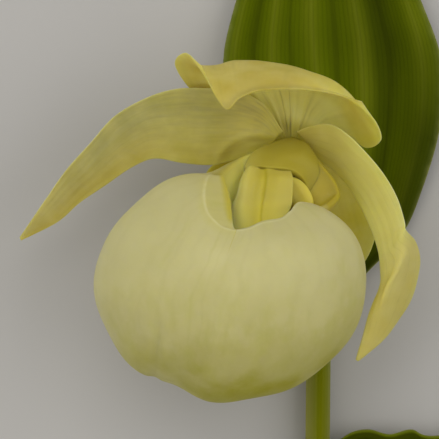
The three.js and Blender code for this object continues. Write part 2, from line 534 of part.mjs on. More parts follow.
const plant = new THREE.Group();
for (const [name, look, geometry] of PIECES) {
  const mesh = new THREE.Mesh(geometry, new THREE.MeshStandardMaterial({ metalness: 0, ...LOOKS[look] }));
  mesh.name = name;
  plant.add(mesh);
}

plant.position.set(...SEAT);

export default plant;
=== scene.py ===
"""A cut slipper orchid stem lying on its back, seen from straight above: the looks around the CAD frame.

Shapes are worked out in millimetres about the seat of the flower, as the CAD solids are, with +Y up the
plant and +Z towards the viewer. Each piece replaces its CAD node with a finer mesh through the same net.
"""

import math

import bpy
import numpy as np
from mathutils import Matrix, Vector


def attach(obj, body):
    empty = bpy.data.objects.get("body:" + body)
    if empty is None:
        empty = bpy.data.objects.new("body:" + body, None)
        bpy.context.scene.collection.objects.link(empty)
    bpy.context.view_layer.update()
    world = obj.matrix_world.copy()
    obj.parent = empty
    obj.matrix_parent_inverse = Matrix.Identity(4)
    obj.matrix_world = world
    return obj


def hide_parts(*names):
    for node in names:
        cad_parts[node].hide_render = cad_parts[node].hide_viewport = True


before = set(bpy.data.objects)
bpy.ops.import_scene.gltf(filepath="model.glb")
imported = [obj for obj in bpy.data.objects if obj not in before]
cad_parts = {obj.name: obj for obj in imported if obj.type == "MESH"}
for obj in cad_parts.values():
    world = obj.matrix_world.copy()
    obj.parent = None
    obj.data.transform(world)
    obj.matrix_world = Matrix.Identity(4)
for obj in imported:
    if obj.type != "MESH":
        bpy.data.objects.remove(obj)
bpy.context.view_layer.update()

MM = 0.001
UV_LAYER = "Blade"  # holds how far along and across its blade each point lies
EULER = 2.718
SEAT = np.array([-38.063, 44.258, 0.040])  # the seat of the flower in the part's frame, in millimetres

# ---------------------------------------------------------------- shapes, the same as the CAD solids

PETAL_THICKNESS = 0.5
PETAL_EDGE = 0.16
LEAF_THICKNESS = 0.6
LEAF_EDGE = 0.2
STEM_RADIUS = 2.35
STEM_HEIGHT = 3.35  # of its middle above the surface
SKIN = 0.04  # how far the visible stem's wall lies inside the CAD one, so that its ribs do too
STEM_RIBS = 11
STEM_RIB_HEIGHT = 0.03
OVARY_RIBS = 6
OVARY_RIB_HEIGHT = 0.1
NODE_Y = -31.3  # where the bract and the ovary leave the stem
CUT_Y = -150
SHEATH_GAP = 0.35
SHEATH_WALL = 0.6
SHEATH_TOP_X, SHEATH_TOP_Y = 5.6, -57.5
SHEATH_FOOT_X, SHEATH_FOOT_Y = 5.15, -98

STEM_PATH = [
    [4.4, CUT_Y, STEM_RADIUS], [4.8, -120, STEM_HEIGHT - 0.4], [5.25, -90, STEM_HEIGHT],
    [5.55, -60, STEM_HEIGHT], [5.85, NODE_Y, STEM_HEIGHT],
]
OVARY_PATH = [[5.85, NODE_Y + 0.5, 3.6], [5.3, -22, 4.8], [3.8, -13, 6.2], [1.6, -5, 8.8], [0.1, -0.5, 12.6]]
OVARY_RADII = [1.7, 2.1, 2.2, 2.0, 1.7]
# The hood of the column; its margins sink into the wings of the pouch.
COLUMN = [
    [[-2.6, -1.4, 14.9], [-1.9, -1.2, 14.9], [-0.9, -0.8, 15.2], [0.1, -0.7, 15.3], [1.1, -0.8, 15.2],
     [2.1, -1.2, 14.9], [2.8, -1.5, 14.7]],
    [[-5.0, -2.9, 19.2], [-2.8, -1.5, 18.8], [-1.6, -1.4, 19.4], [-0.1, -1.3, 19.6], [1.5, -1.4, 19.2],
     [3.0, -1.6, 18.3], [4.2, -2.9, 18.8]],
    [[-8.0, -4.0, 23.0], [-5.4, -2.6, 21.6], [-3.2, -2.8, 22.0], [-0.9, -2.9, 22.2], [1.6, -3.1, 21.7],
     [3.5, -3.6, 20.7], [5.4, -4.4, 19.8]],
    [[-9.0, -5.8, 24.3], [-6.2, -4.2, 23.3], [-4.0, -4.5, 23.9], [-1.8, -4.7, 24.1], [0.9, -4.9, 22.9],
     [3.5, -5.8, 21.4], [5.8, -7.2, 20.7]],
    [[-8.4, -8.0, 24.4], [-6.0, -5.9, 24.6], [-4.1, -6.1, 25.3], [-2.0, -6.2, 25.3], [0.4, -6.6, 24.2],
     [2.4, -8.4, 22.1], [3.4, -11.2, 21.2]],
]
COLUMN_THICKNESS = 2.1
COLUMN_EDGE = 0.4

# The bract: y, middle, half width, height of the middle and rise of the margins.
BRACT = [
    (-30.9, 5.7, 3.1, 0.6, 3.4), (-24.4, 7.6, 6.6, 0.8, 2.4), (-16.5, 9.8, 11.8, 1.0, 1.6),
    (-8, 9.6, 15.8, 1.3, 1.8), (4, 9.0, 19.8, 1.4, 2.6), (16, 8.4, 20.7, 1.4, 3.0),
    (26, 7.8, 18.2, 1.4, 2.4), (36, 7.2, 14.2, 1.3, 1.8), (46, 6.8, 9.6, 1.1, 1.2),
    (55, 6.4, 4.6, 0.9, 0.6), (61.5, 6.2, 0.5, 0.8, 0.1),
]
BRACT_SAG = 1.5  # how far down the plant its rows bend at their margins
BRACT_PLEAT_HEIGHT = 0.45
LEAF_PLEAT_HEIGHT = 0.75
LEAF_PLEATS = 6
# Across the blade, where its furrows run: one at each whole turn.
BRACT_FURROWS = [
    (0, -0.8), (0.053, -0.5), (0.168, 0), (0.327, 1), (0.522, 2), (0.73, 3), (0.9, 3.5), (1, 3.75),
]
LEAF_FURROWS = [(0, 0.5 - LEAF_PLEATS / 2), (1, 0.5 + LEAF_PLEATS / 2)]
LEAF_HEIGHT = 1.4
LEAF_BASE_RISE = 1.6  # of its first row, where it leaves the sheath
LEAF_CUP = 2.2  # how much higher its margins lie than its middle
LEAF_GLOSS = 0.03

# Lower and upper margin of the leaf, from the sheath to the tip.
LEAF_MARGINS = [
    ([8.15, -93], [8.4, -58]), ([17, -102], [12, -55.4]), ([24, -106.5], [15.4, -54.8]),
    ([30, -109], [19.2, -55.7]), ([37, -111.5], [23.4, -54.8]), ([45, -112], [28, -56]),
    ([59, -110], [44, -53.5]), ([80, -99], [64, -48]), ([100, -81], [84, -41.5]),
    ([115, -59], [104, -36.5]), ([126.5, -34.6], [126, -33.6]),
]

FURROWS = (0.49, 0.545)  # across the dorsal sepal, where the two furrows of its midrib run
DORSAL_SEPAL = [
    [[-3.2, -0.8, 14.3], [-2.2, -0.4, 14.2], [-1.1, -0.2, 14.1], [0, -0.1, 14.1], [1.1, -0.2, 14.1],
     [2.2, -0.4, 14.2], [3.2, -0.8, 14.3]],
    [[-12.2, 4.6, 15.6], [-9.3, 5.6, 15.8], [-5.2, 5.8, 16], [-0.9, 6.5, 16.4], [2.8, 5.6, 16],
     [5.9, 4.2, 15.4], [9.0, 1.6, 14.8]],
    [[-18.0, 9.0, 18.6], [-13.2, 8.8, 19], [-8.3, 9.8, 19.6], [-1.8, 10.2, 20], [3.9, 9.6, 19.6],
     [9.6, 6.8, 18], [14.1, -1.6, 17]],
    [[-21.3, 13.6, 26], [-14.6, 13.2, 27.5], [-9.6, 14.1, 27], [-3.0, 13.7, 26], [3.6, 12.1, 25.4],
     [10.5, 8.8, 23], [17.0, -0.4, 20.4]],
    [[-19.4, 15.6, 31], [-13.7, 10.6, 35.5], [-10, 11.6, 35], [-4.4, 12.2, 34], [2.6, 11.4, 32.5],
     [9.6, 8.4, 28.5], [16.2, 2.6, 23.7]],
    [[-16.4, 13.2, 34.5], [-12.2, 5.2, 40], [-9.4, 7.0, 40.5], [-5.6, 8.4, 39.5], [1.6, 8.7, 37.5],
     [8.0, 8.0, 33], [13.2, 6.8, 27.5]],
]
SYNSEPAL = [
    [[-2.4, -3.2, 13.0], [-1.2, -3.5, 13.0], [0, -3.6, 13.0], [1.2, -3.5, 13.0], [2.4, -3.2, 13.0]],
    [[-14.2, -4.8, 11.6], [-7, -5.6, 11.9], [0, -6.4, 11.8], [6, -5.8, 11.9], [11.1, -4.6, 11.6]],
    [[-16.0, -11.4, 9.8], [-8, -12.4, 10.2], [0, -13, 10.2], [8, -12.6, 10.2], [15, -11, 9.8]],
    [[-15.7, -19.4, 7.5], [-8, -20.4, 8.2], [0.5, -20.9, 8.6], [9, -20.2, 8.2], [16.4, -18.2, 8.0]],
    [[-11.5, -29, 6.2], [-5.5, -29.7, 6.5], [0.5, -30, 6.9], [6, -29, 7.0], [11.6, -26.6, 7.2]],
    [[-4.4, -38.6, 6.6], [-4, -39.0, 6.6], [-3.6, -39.2, 6.6], [-3.2, -39.2, 6.6], [-2.8, -38.8, 6.6]],
]
PETAL_LEFT = [
    [[-1.2, 1.4, 16.8], [-2.4, 0.4, 16.4], [-3.2, -1.4, 16.0]],
    [[-5.0, 6.6, 18.8], [-5.8, 2.0, 17.6], [-5.6, -2.4, 16.0]],
    [[-10.2, 9.0, 21.2], [-10.0, 2.6, 19], [-9.6, -4.1, 16.6]],
    [[-15.9, 9.3, 22.6], [-15.2, 2.6, 20.2], [-14.4, -4.9, 17.4]],
    [[-21.5, 9.1, 22.8], [-20.8, 2.6, 20.6], [-19.8, -4.5, 18]],
    [[-27.0, 7.4, 21.6], [-26.2, 2.2, 19.8], [-25.2, -3.7, 17.8]],
    [[-32.6, 4.2, 20.0], [-31.2, -0.6, 18.6], [-29.6, -5.4, 16.8]],
    [[-37.4, -1.0, 18.4], [-36.0, -4.8, 17.6], [-34.3, -8.6, 16.6]],
    [[-41.7, -5.8, 18.0], [-40.6, -9, 17.4], [-39.3, -12.0, 16.6]],
    [[-45.8, -11.7, 18.6], [-44.8, -13.8, 18.2], [-43.4, -15.6, 17.6]],
    [[-50.3, -18.4, 20.0], [-50.2, -18.7, 20.0], [-50.0, -19.0, 20.0]],
]
# Where the left petal sinks in behind the lip.
HOLLOW_X, HOLLOW_Y = -6.0, -5.6
HOLLOW_HALF_WIDTH, HOLLOW_HALF_HEIGHT = 7.7, 6.4
PETAL_RIGHT = [
    [[3.3, -1.6, 15.6], [3.2, -0.9, 15.9], [2.8, -0.1, 16.2], [2.2, 0.7, 16.5], [1.4, 1.4, 16.8]],
    [[5.4, -3.6, 15.3], [5.3, -2.0, 16.6], [5.2, -0.4, 17.8], [5.1, 1.2, 19], [5.0, 2.6, 20]],
    [[8.4, -6.0, 15.2], [8.4, -3.8, 17], [8.3, -1.6, 18.8], [8.2, 0.7, 20.6], [8.2, 2.4, 22]],
    [[11.0, -8.9, 16.2], [11.0, -6.6, 18], [11.0, -4.2, 20], [11.0, -1.8, 22], [11.2, 0.3, 23.4]],
    [[12.8, -11.9, 18], [13.2, -9.6, 19.4], [13.6, -7.4, 21.2], [14, -5, 23], [14.3, -2.9, 24.4]],
    [[14.2, -14.6, 20], [15, -12.6, 21], [15.8, -10.6, 22.4], [16.6, -8.6, 24], [17.5, -6.8, 25.2]],
    [[15.5, -17.6, 21.6], [16.5, -15.9, 22.4], [17.6, -14.2, 23.4], [18.7, -12.6, 24.6], [19.9, -11, 25.6]],
    [[16.4, -20.6, 22.6], [17.5, -19.2, 23.4], [18.8, -17.8, 24.3], [20.1, -16.4, 25.2], [21.2, -15.2, 25.8]],
    [[16.7, -22.4, 23.0], [17.9, -21.2, 24.0], [19.2, -20.0, 25.0], [20.5, -18.6, 25.8], [21.5, -17.0, 26.0]],
    [[16.8, -24.4, 23.6], [18.4, -23.4, 24.8], [20.6, -21.8, 26.0], [22.1, -20.4, 24.6], [23.3, -19.1, 22.6]],
    [[16.9, -26.6, 24.0], [18.2, -25.8, 25.2], [19.8, -24.6, 26.0], [22.3, -23.4, 23.6], [24.2, -22.2, 21.0]],
    [[16.4, -28.6, 24.3], [17.3, -28.0, 25.2], [18.6, -27.0, 25.7], [21.6, -26.4, 22.8], [24.0, -25.4, 19.9]],
    [[15.4, -30.6, 24.4], [16.3, -30.4, 25.0], [17.6, -30.2, 25.0], [20.6, -29.9, 22.0], [23.0, -29.2, 19.2]],
    [[14.5, -33.0, 24.0], [15.6, -33.2, 24.0], [17.0, -33.4, 23.2], [19.2, -33.4, 21.0], [21.0, -33.0, 18.8]],
    [[13.5, -37, 22.6], [14.4, -37.3, 22.2], [15.5, -37.5, 21.4], [16.7, -37.5, 20.2], [17.8, -37.3, 19]],
    [[12.3, -41.1, 21], [12.45, -41.3, 20.9], [12.6, -41.4, 20.8], [12.8, -41.4, 20.7], [13.0, -41.3, 20.6]],
]

POUCH_WALL = 0.7
RIM_AT = 0.15  # u of the rim of the mouth on the pouch
POUCH_CENTRE = np.array([-11.1, -28.1, 27])
POUCH_FRONT = 21
POUCH_BACK = 18
POUCH_RECEDE = 0.3  # how much shallower the front gets towards the top, as a share
POUCH_OUTLINE = np.array([
    24.7, 25.0, 23.1, 19.9, 20.2, 21.9, 23.1, 23.4, 24.5, 24.9, 23.6, 22.4, 19.9, 20.6, 20.3, 21.0,
    22.0, 23.7,
])
POUCH_FOOT = np.array([-0.25, -0.95, -0.15]) / math.hypot(0.25, 0.95, 0.15)
WAIST_DEPTH = 0.2  # how far the wall draws in just under the right wing, as a share of the radius
WAIST_TURN = 8.2  # where along the mouth's list that is
WAIST_AT = 0.04  # and how far down the wall, as a share of the way to the foot
SWELL_HEIGHT = 0.22  # of the soft unevenness of the wall
# The pleat runs down the lower left of the front; it passes through PLEAT_X, PLEAT_Y.
PLEAT_X, PLEAT_Y = -24, -36
PLEAT_SLANT = 0.12
PLEAT_DEPTH = 0.45
PLEAT_TOP_Y = -30
PLEAT_BACK_Z = 20
# The mouth from the left end of its front over the right, back and left. At each point: its rim; the edge to
# which the margin turns in from there; the share of the way to the foot over which the rim's own shape fades
# out; and how far the wall there swings round the back of the pouch on its way to the foot.
MOUTH = [
    ([-10.0, -17.3, 42.6], [-9.9, -17.2, 42.0], 0.22, 0),
    ([-7.6, -16.9, 41.5], [-7.5, -16.7, 40.9], 0.22, 0),
    ([-5.2, -15.9, 39.9], [-5.0, -15.6, 39.2], 0.22, 0),
    ([-1.9, -15.3, 37.9], [-1.7, -15.0, 37.2], 0.22, 0),
    ([0.0, -13.9, 35.8], [0.2, -13.6, 35.0], 0.2, 0),
    ([1.3, -12.3, 32.6], [1.6, -12.6, 31.2], 0.18, 0),
    ([3.5, -12.3, 29.5], [3.0, -13.6, 27.6], 0.14, 0.1),
    ([5.7, -13.0, 26.2], [3.8, -15.3, 23.8], 0.1, 0.4),
    ([8.7, -10.9, 23.2], [2.6, -14.2, 21.8], 0.07, 0.9),
    ([8.6, -8.9, 22.2], [0.8, -12.2, 21.2], 0.07, 0.8),
    ([6.9, -6.4, 21.1], [0.4, -9.6, 20.8], 0.09, 0.6),
    ([4.4, -3.6, 19.9], [0.8, -7.0, 20.0], 0.12, 0.4),
    ([2.6, -2.5, 18.0], [0.8, -5.4, 18.6], 0.14, 0.2),
    ([0.2, -3.2, 16.6], [-0.6, -5.2, 17.4], 0.15, 0.1),
    ([-3.5, -2.5, 18.6], [-2.4, -6.4, 18.2], 0.13, 0.2),
    ([-7.2, -3.1, 22.6], [-4.8, -9.0, 20.2], 0.12, 0.4),
    ([-10.2, -4.8, 25.6], [-8.0, -12.6, 25.4], 0.11, 0.6),
    ([-12.9, -7.2, 28.0], [-10.6, -16.4, 28.4], 0.1, 0.6),
    ([-14.6, -7.1, 30.0], [-12.5, -7.6, 28.8], 0.14, 0.2),
    ([-15.6, -8.5, 33.8], [-11.7, -9.6, 32.2], 0.22, 0),
    ([-15.9, -11.3, 38.4], [-11.1, -12.2, 35.6], 0.22, 0),
    ([-15.2, -14.1, 41.2], [-10.9, -14.4, 38.6], 0.22, 0),
    ([-13.1, -16.3, 42.6], [-10.7, -16.2, 41.0], 0.22, 0),
    ([-11.5, -17.0, 42.8], [-10.5, -16.9, 41.8], 0.22, 0),
]
MOUTH_POINTS = len(MOUTH)
LEFT_WING = 13.0  # where in the mouth's list the left wing begins
LEFT_LOBE = 18.2  # and where it gives way to the lobe of the left margin

STAMINODE = [
    [[-8.5, -6.7, 26.0], [-7.4, -5.4, 26.6], [-6.3, -5.6, 26.4], [-5.2, -6.1, 26.7], [-4.1, -5.9, 26.2],
     [-1.9, -6.3, 26.8], [0.2, -6.3, 26.6]],
    [[-9.2, -8.1, 28.0], [-8.1, -7.8, 28.5], [-6.7, -7.8, 28.4], [-5.2, -7.8, 28.7], [-4.1, -7.8, 28.2],
     [-1.9, -7.6, 28.8], [0.5, -7.8, 28.6]],
    [[-9.8, -10.4, 29.4], [-8.5, -10.4, 29.9], [-7.0, -10.4, 29.8], [-5.6, -10.4, 30.1], [-4.5, -10.4, 29.6],
     [-2.2, -10.4, 30.2], [0.4, -10.5, 30.0]],
    [[-10.8, -13.0, 30.5], [-9.1, -13.1, 31.1], [-7.6, -13.3, 31.0], [-5.9, -13.3, 31.3], [-5.0, -13.1, 30.8],
     [-2.8, -13.0, 31.4], [0.2, -12.6, 31.1]],
    [[-11.0, -17.2, 33.2], [-9.1, -17.3, 33.8], [-7.4, -17.2, 33.8], [-6.1, -17.0, 34.0], [-5.2, -16.8, 33.6],
     [-3.3, -16.3, 34.0], [-1.1, -15.4, 33.4]],
]
STAMINODE_THICKNESS = 0.8
STAMINODE_EDGE = 0.35

# From and to where each pod of the column runs, its width and its depth.
ANTHER_LEFT = ([-5.6, -7.0, 25.6], [-8.2, -12.6, 27.6], 2.2, 1.7)
ANTHER_RIGHT = ([-0.5, -7.4, 24.0], [3.7, -14.0, 24.0], 4.6, 1.7)
STIGMA = ([-1.8, -5.2, 21.0], [-3.8, -11.0, 22.8], 4.2, 1.6)

# ---------------------------------------------------------------- curves and surfaces through points


def smooth(t):
    """From 0 at 0 to 1 at 1, level at both ends."""
    t = np.clip(t, 0, 1)
    return t * t * (3 - 2 * t)


def bump(t):
    """1 at 0, falling to 0 at 1 to either side."""
    return smooth(1 - np.abs(t))


def bell(t, middle, width):
    """1 at the middle, falling off to either side over the width."""
    return np.exp(-((t - middle) / width) ** 2)


def unit(vectors):
    return vectors / np.linalg.norm(vectors, axis=-1, keepdims=True)


def catmull_rom(a, b, c, d, w):
    return (a * (((2 - w) * w - 1) * w) + b * ((3 * w - 5) * w * w + 2)
            + c * (((4 - 3 * w) * w + 1) * w) + d * ((w - 1) * w * w)) / 2


def along(points, t):
    """Points at t, from 0 to 1, on the curve through the list; the list's items may be arrays."""
    points = np.asarray(points, float)
    points = np.concatenate([[2 * points[0] - points[1]], points, [2 * points[-1] - points[-2]]])
    spans = len(points) - 3
    k = np.minimum((t * spans).astype(int), spans - 1)
    w = (t * spans - k).reshape((-1,) + (1,) * (points.ndim - 1))
    return catmull_rom(points[k], points[k + 1], points[k + 2], points[k + 3], w)


def around(points, t):
    """Points at t, from 0 to 1, on the ring through the list."""
    points = np.asarray(points, float)
    n = len(points)
    k = np.floor(t * n).astype(int)
    w = (t * n - k).reshape(t.shape + (1,) * (points.ndim - 1))
    return catmull_rom(points[(k - 1) % n], points[k % n], points[(k + 1) % n], points[(k + 2) % n], w)


def surface(net, u, v):
    """Grid of points on the surface through the net, u along it and v across it."""
    across = along(np.swapaxes(np.asarray(net, float), 0, 1), v)
    return along(np.swapaxes(across, 0, 1), u)


def normals_of(grid, ring=False):
    down = np.gradient(grid, axis=0)
    if ring:
        side = np.roll(grid, -1, axis=1) - np.roll(grid, 1, axis=1)
    else:
        side = np.gradient(grid, axis=1)
    normals = np.cross(down, side)
    return normals / np.maximum(np.linalg.norm(normals, axis=2, keepdims=True), 1e-9)


def ripple(seed, count, scale):
    """A smooth random field: a sum of waves of about that length, in millimetres, from -1 to 1."""
    rng = np.random.default_rng(seed)
    ways = rng.normal(size=(count, 3))
    length = np.linalg.norm(ways, axis=1, keepdims=True)
    ways *= 2 * math.pi / scale * rng.uniform(0.6, 1.6, (count, 1)) / length
    phases = rng.uniform(0, 2 * math.pi, count)
    return lambda p: np.sin(p @ ways.T + phases).sum(-1) / count ** 0.5 / 1.6


# ---------------------------------------------------------------- meshes


def make_piece(name, shape, material, node):
    """A smooth mesh that replaces its CAD node. shape is its points, its faces and (u, v) at each point."""
    points, faces, uvs = shape
    mesh = bpy.data.meshes.new(name)
    mesh.from_pydata(((points + SEAT) * MM).tolist(), [], faces)
    mesh.shade_smooth()
    layer = mesh.uv_layers.new(name=UV_LAYER)
    loops = np.empty(len(mesh.loops), int)
    mesh.loops.foreach_get("vertex_index", loops)
    layer.data.foreach_set("uv", uvs[loops].ravel())
    mesh.materials.append(material)
    piece = bpy.data.objects.new(name, mesh)
    bpy.context.scene.collection.objects.link(piece)
    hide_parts(node)
    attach(piece, "root")


def outward(points, faces):
    """The faces, turned so that the body they close has its outside out."""
    volume = sum(np.dot(points[f[0]], np.cross(points[f[k]], points[f[k + 1]]))
                 for f in faces for k in range(1, len(f) - 1))
    return faces if volume > 0 else [f[::-1] for f in faces]


def shell_faces(rows, columns, ring):
    """Faces of two layers of rows x columns points: both sides and the rim between them. A ring's columns
    close on themselves, and its last row is left open."""
    layer = rows * columns
    spans = columns if ring else columns - 1
    faces = []
    for i in range(rows - 1):
        for j in range(spans):
            a, b = i * columns + j, i * columns + (j + 1) % columns
            c, d = b + columns, a + columns
            faces += [(a, d, c, b), (layer + a, layer + b, layer + c, layer + d)]
    edge = [(j, (j + 1) % columns) for j in range(spans)]
    if not ring:
        last = (rows - 1) * columns
        edge += [(last + j + 1, last + j) for j in range(spans)]
        edge += [((i + 1) * columns, i * columns) for i in range(rows - 1)]
        edge += [((i + 1) * columns - 1, (i + 2) * columns - 1) for i in range(rows - 1)]
    return faces + [(a, b, layer + b, layer + a) for a, b in edge]


def blade(net, rows, columns, thickness, edge, relief=None):
    """A thin blade through the net, thinner at its margins than in its middle.

    relief(u, v, points) lifts the surface along its normal; u and v are grids from 0 to 1.
    """
    u, v = np.linspace(0, 1, rows + 1), np.linspace(0, 1, columns + 1)
    grid = surface(net, u, v)
    u, v = np.meshgrid(u, v, indexing="ij")
    normals = normals_of(grid)
    if relief:
        grid = grid + normals * relief(u, v, grid)[..., None]
        normals = normals_of(grid)
    inside = np.minimum(1, 4 * v * (1 - v)) ** 0.5 * np.minimum(1, (1 - u) * 60) ** 0.5
    half = ((edge + (thickness - edge) * inside) / 2)[..., None]
    points = np.concatenate([(grid + side * half * normals).reshape(-1, 3) for side in (1, -1)])
    uvs = np.tile(np.stack([u, v], -1).reshape(-1, 2), (2, 1))
    return points, outward(points, shell_faces(rows + 1, columns + 1, False)), uvs


def closed_tube(rings, ends, t, angle):
    """A tube through the rings of points, one at each t with a point at each angle, closed at both ends."""
    count, sides = rings.shape[:2]
    points = np.concatenate([rings.reshape(-1, 3), ends])
    last = (count - 1) * sides
    foot, head = count * sides, count * sides + 1
    around_it = [(j, (j + 1) % sides) for j in range(sides)]
    faces = [(i * sides + j, i * sides + k, (i + 1) * sides + k, (i + 1) * sides + j)
             for i in range(count - 1) for j, k in around_it]
    faces += [(k, j, foot) for j, k in around_it]
    faces += [(last + j, last + k, head) for j, k in around_it]
    u = np.append(np.repeat(t, sides), [0, 1])
    v = np.append(np.tile(angle / (2 * math.pi), count), [0, 0])
    return points, outward(points, faces), np.stack([u, v], 1)


def limb(path, radii, rings, sides, relief):
    """A round limb along a curve. relief(t, angle) adds to its radius."""
    t = np.linspace(0, 1, rings)
    angle = np.linspace(0, 2 * math.pi, sides, endpoint=False)
    centres = along(path, t)
    tangents = unit(np.gradient(centres, axis=0))
    first = unit(np.cross(tangents, [1.0, 0.0, 0.0]))
    second = np.cross(tangents, first)
    radius = along(radii, t)[:, None] + relief(t[:, None], angle[None, :])
    ring = first[:, None] * np.cos(angle)[None, :, None] + second[:, None] * np.sin(angle)[None, :, None]
    return closed_tube(centres[:, None] + ring * radius[..., None], centres[[0, -1]], t, angle)


def pod(start, end, width, depth, rings=24, sides=32):
    """An ellipsoid lying along a line, furrowed along its middle."""
    start, end = np.array(start, float), np.array(end, float)
    t = np.linspace(0, math.pi, rings + 1)[1:-1]
    angle = np.linspace(0, 2 * math.pi, sides, endpoint=False)
    axis = unit(end - start)
    side = unit(np.cross(axis, [0, 0, 1]))
    up = np.cross(side, axis)
    centres = (start + end) / 2 - np.cos(t)[:, None] * (end - start) / 2
    furrow = 1 - 0.16 * bell(angle, math.pi / 2, 0.3)
    ring = side * (np.cos(angle) * width / 2)[:, None] + up * (np.sin(angle) * furrow * depth / 2)[:, None]
    rings = centres[:, None] + ring[None] * np.sin(t)[:, None, None]
    return closed_tube(rings, [start, end], t / math.pi, angle)


# ---------------------------------------------------------------- materials


def srgb(red, green, blue):
    """A colour given as 0 to 255 on the screen, for a linear socket."""
    parts = [c / 255 for c in (red, green, blue)]
    return tuple(c / 12.92 if c <= 0.04045 else ((c + 0.055) / 1.055) ** 2.4 for c in parts) + (1.0,)


def tones(*stops):
    """Stops for a ramp: where each one is, and its screen colour or the one number of its grey."""
    return [(at, srgb(*(tone * 3 if len(tone) == 1 else tone))) for at, *tone in stops]


def shares(*stops):
    """Stops for a ramp that gives a plain number from 0 to 1."""
    return [(at, (share, share, share, 1)) for at, share in stops]


class Surface:
    """A Principled material and short ways to put nodes in front of it.

    along and across are where a point lies on its blade, from 0 to 1, and place is where it lies in the part.
    """

    def __init__(self, name, roughness, gloss=0.3, subsurface=0.0, reach=0.001, sheen=0.0):
        self.material = bpy.data.materials.new(name)
        self.material.use_nodes = True
        self.tree = self.material.node_tree
        self.shader = self.tree.nodes["Principled BSDF"]
        sockets = self.shader.inputs
        sockets["Roughness"].default_value = roughness
        sockets["Specular IOR Level"].default_value = gloss
        sockets["Subsurface Weight"].default_value = subsurface
        sockets["Subsurface Radius"].default_value = (1.0, 0.9, 0.35)
        sockets["Subsurface Scale"].default_value = reach
        sockets["Sheen Weight"].default_value = sheen
        sockets["Sheen Roughness"].default_value = 0.4
        self.along, self.across = self.parts(self.add("ShaderNodeUVMap", uv_map=UV_LAYER).outputs["UV"])[:2]
        self.place = self.add("ShaderNodeTexCoord").outputs["Object"]

    def add(self, kind, sockets=None, **settings):
        """A new node; sockets maps the name or number of an input to its value or to what feeds it."""
        node = self.tree.nodes.new(kind)
        for key, value in settings.items():
            setattr(node, key, value)
        for key, value in (sockets or {}).items():
            self.feed(node.inputs[key], value)
        return node

    def feed(self, socket, value):
        if isinstance(value, bpy.types.NodeSocket):
            self.tree.links.new(value, socket)
        else:
            socket.default_value = value

    def parts(self, vector):
        return tuple(self.add("ShaderNodeSeparateXYZ", {"Vector": vector}).outputs)

    def math(self, operation, a, b=0.0, c=0.0, clamp=False):
        return self.add("ShaderNodeMath", {0: a, 1: b, 2: c}, operation=operation, use_clamp=clamp).outputs[0]

    def level(self, value, gain, offset):
        """value times gain plus offset, held between 0 and 1."""
        return self.math("MULTIPLY_ADD", value, gain, offset, clamp=True)

    def past(self, value, start, gain):
        """How far value is past start, times gain, held between 0 and 1; before it if gain is negative."""
        return self.math("MULTIPLY", self.math("SUBTRACT", value, start), gain, clamp=True)

    def product(self, first, *others):
        for other in others:
            first = self.math("MULTIPLY", first, other)
        return first

    def bell(self, value, middle, width):
        """1 where value is at the middle, falling off to either side over the width."""
        off = self.math("DIVIDE", self.math("SUBTRACT", value, middle), width)
        return self.math("POWER", EULER, self.product(off, off, -1.0))

    def margins(self, power):
        """1 at both margins of the blade; the higher the power, the narrower they are."""
        off = self.math("ABSOLUTE", self.math("MULTIPLY_ADD", self.across, 2.0, -1.0))
        return self.math("POWER", off, power)

    def ramp(self, value, stops, ease=True):
        node = self.add("ShaderNodeValToRGB", {0: value})
        node.color_ramp.interpolation = "EASE" if ease else "LINEAR"
        elements = node.color_ramp.elements
        while len(elements) < len(stops):
            elements.new(0.5)
        for element, (at, colour) in zip(elements, stops):
            element.position = at
            element.color = colour
        return node.outputs["Color"]

    def mix(self, factor, a, b, how="MIX"):
        return self.add("ShaderNodeMix", {0: factor, 6: a, 7: b}, data_type="RGBA", blend_type=how).outputs[2]

    def tint(self, tone, colour, *amounts):
        """tone, moved towards the screen colour by the product of the amounts."""
        return self.mix(self.product(*amounts), tone, srgb(*colour))

    def noise(self, size, detail=3.0, stretch=None, place=None):
        """Noise from 0 to 1 with features of that size in millimetres."""
        spot = place or self.place
        if stretch:
            spot = self.add("ShaderNodeMapping", {"Vector": spot, "Scale": stretch}).outputs[0]
        sockets = {"Vector": spot, "Scale": 1 / (size * MM), "Detail": detail}
        return self.add("ShaderNodeTexNoise", sockets).outputs["Fac"]

    def stripes(self, count, wobble=0.0):
        """Waves across the blade, from 0 to 1, that run along it."""
        spot = self.across
        if wobble:
            spot = self.math("ADD", spot, self.product(self.math("SUBTRACT", self.noise(6.0), 0.5), wobble))
        return self.math("MULTIPLY_ADD", self.math("SINE", self.product(spot, 2 * math.pi * count)), 0.5, 0.5)

    def colour(self, value):
        self.feed(self.shader.inputs["Base Color"], value)

    def bump(self, height, distance_mm, strength):
        sockets = {"Strength": strength, "Distance": distance_mm * MM, "Height": height}
        self.feed(self.shader.inputs["Normal"], self.add("ShaderNodeBump", sockets).outputs["Normal"])


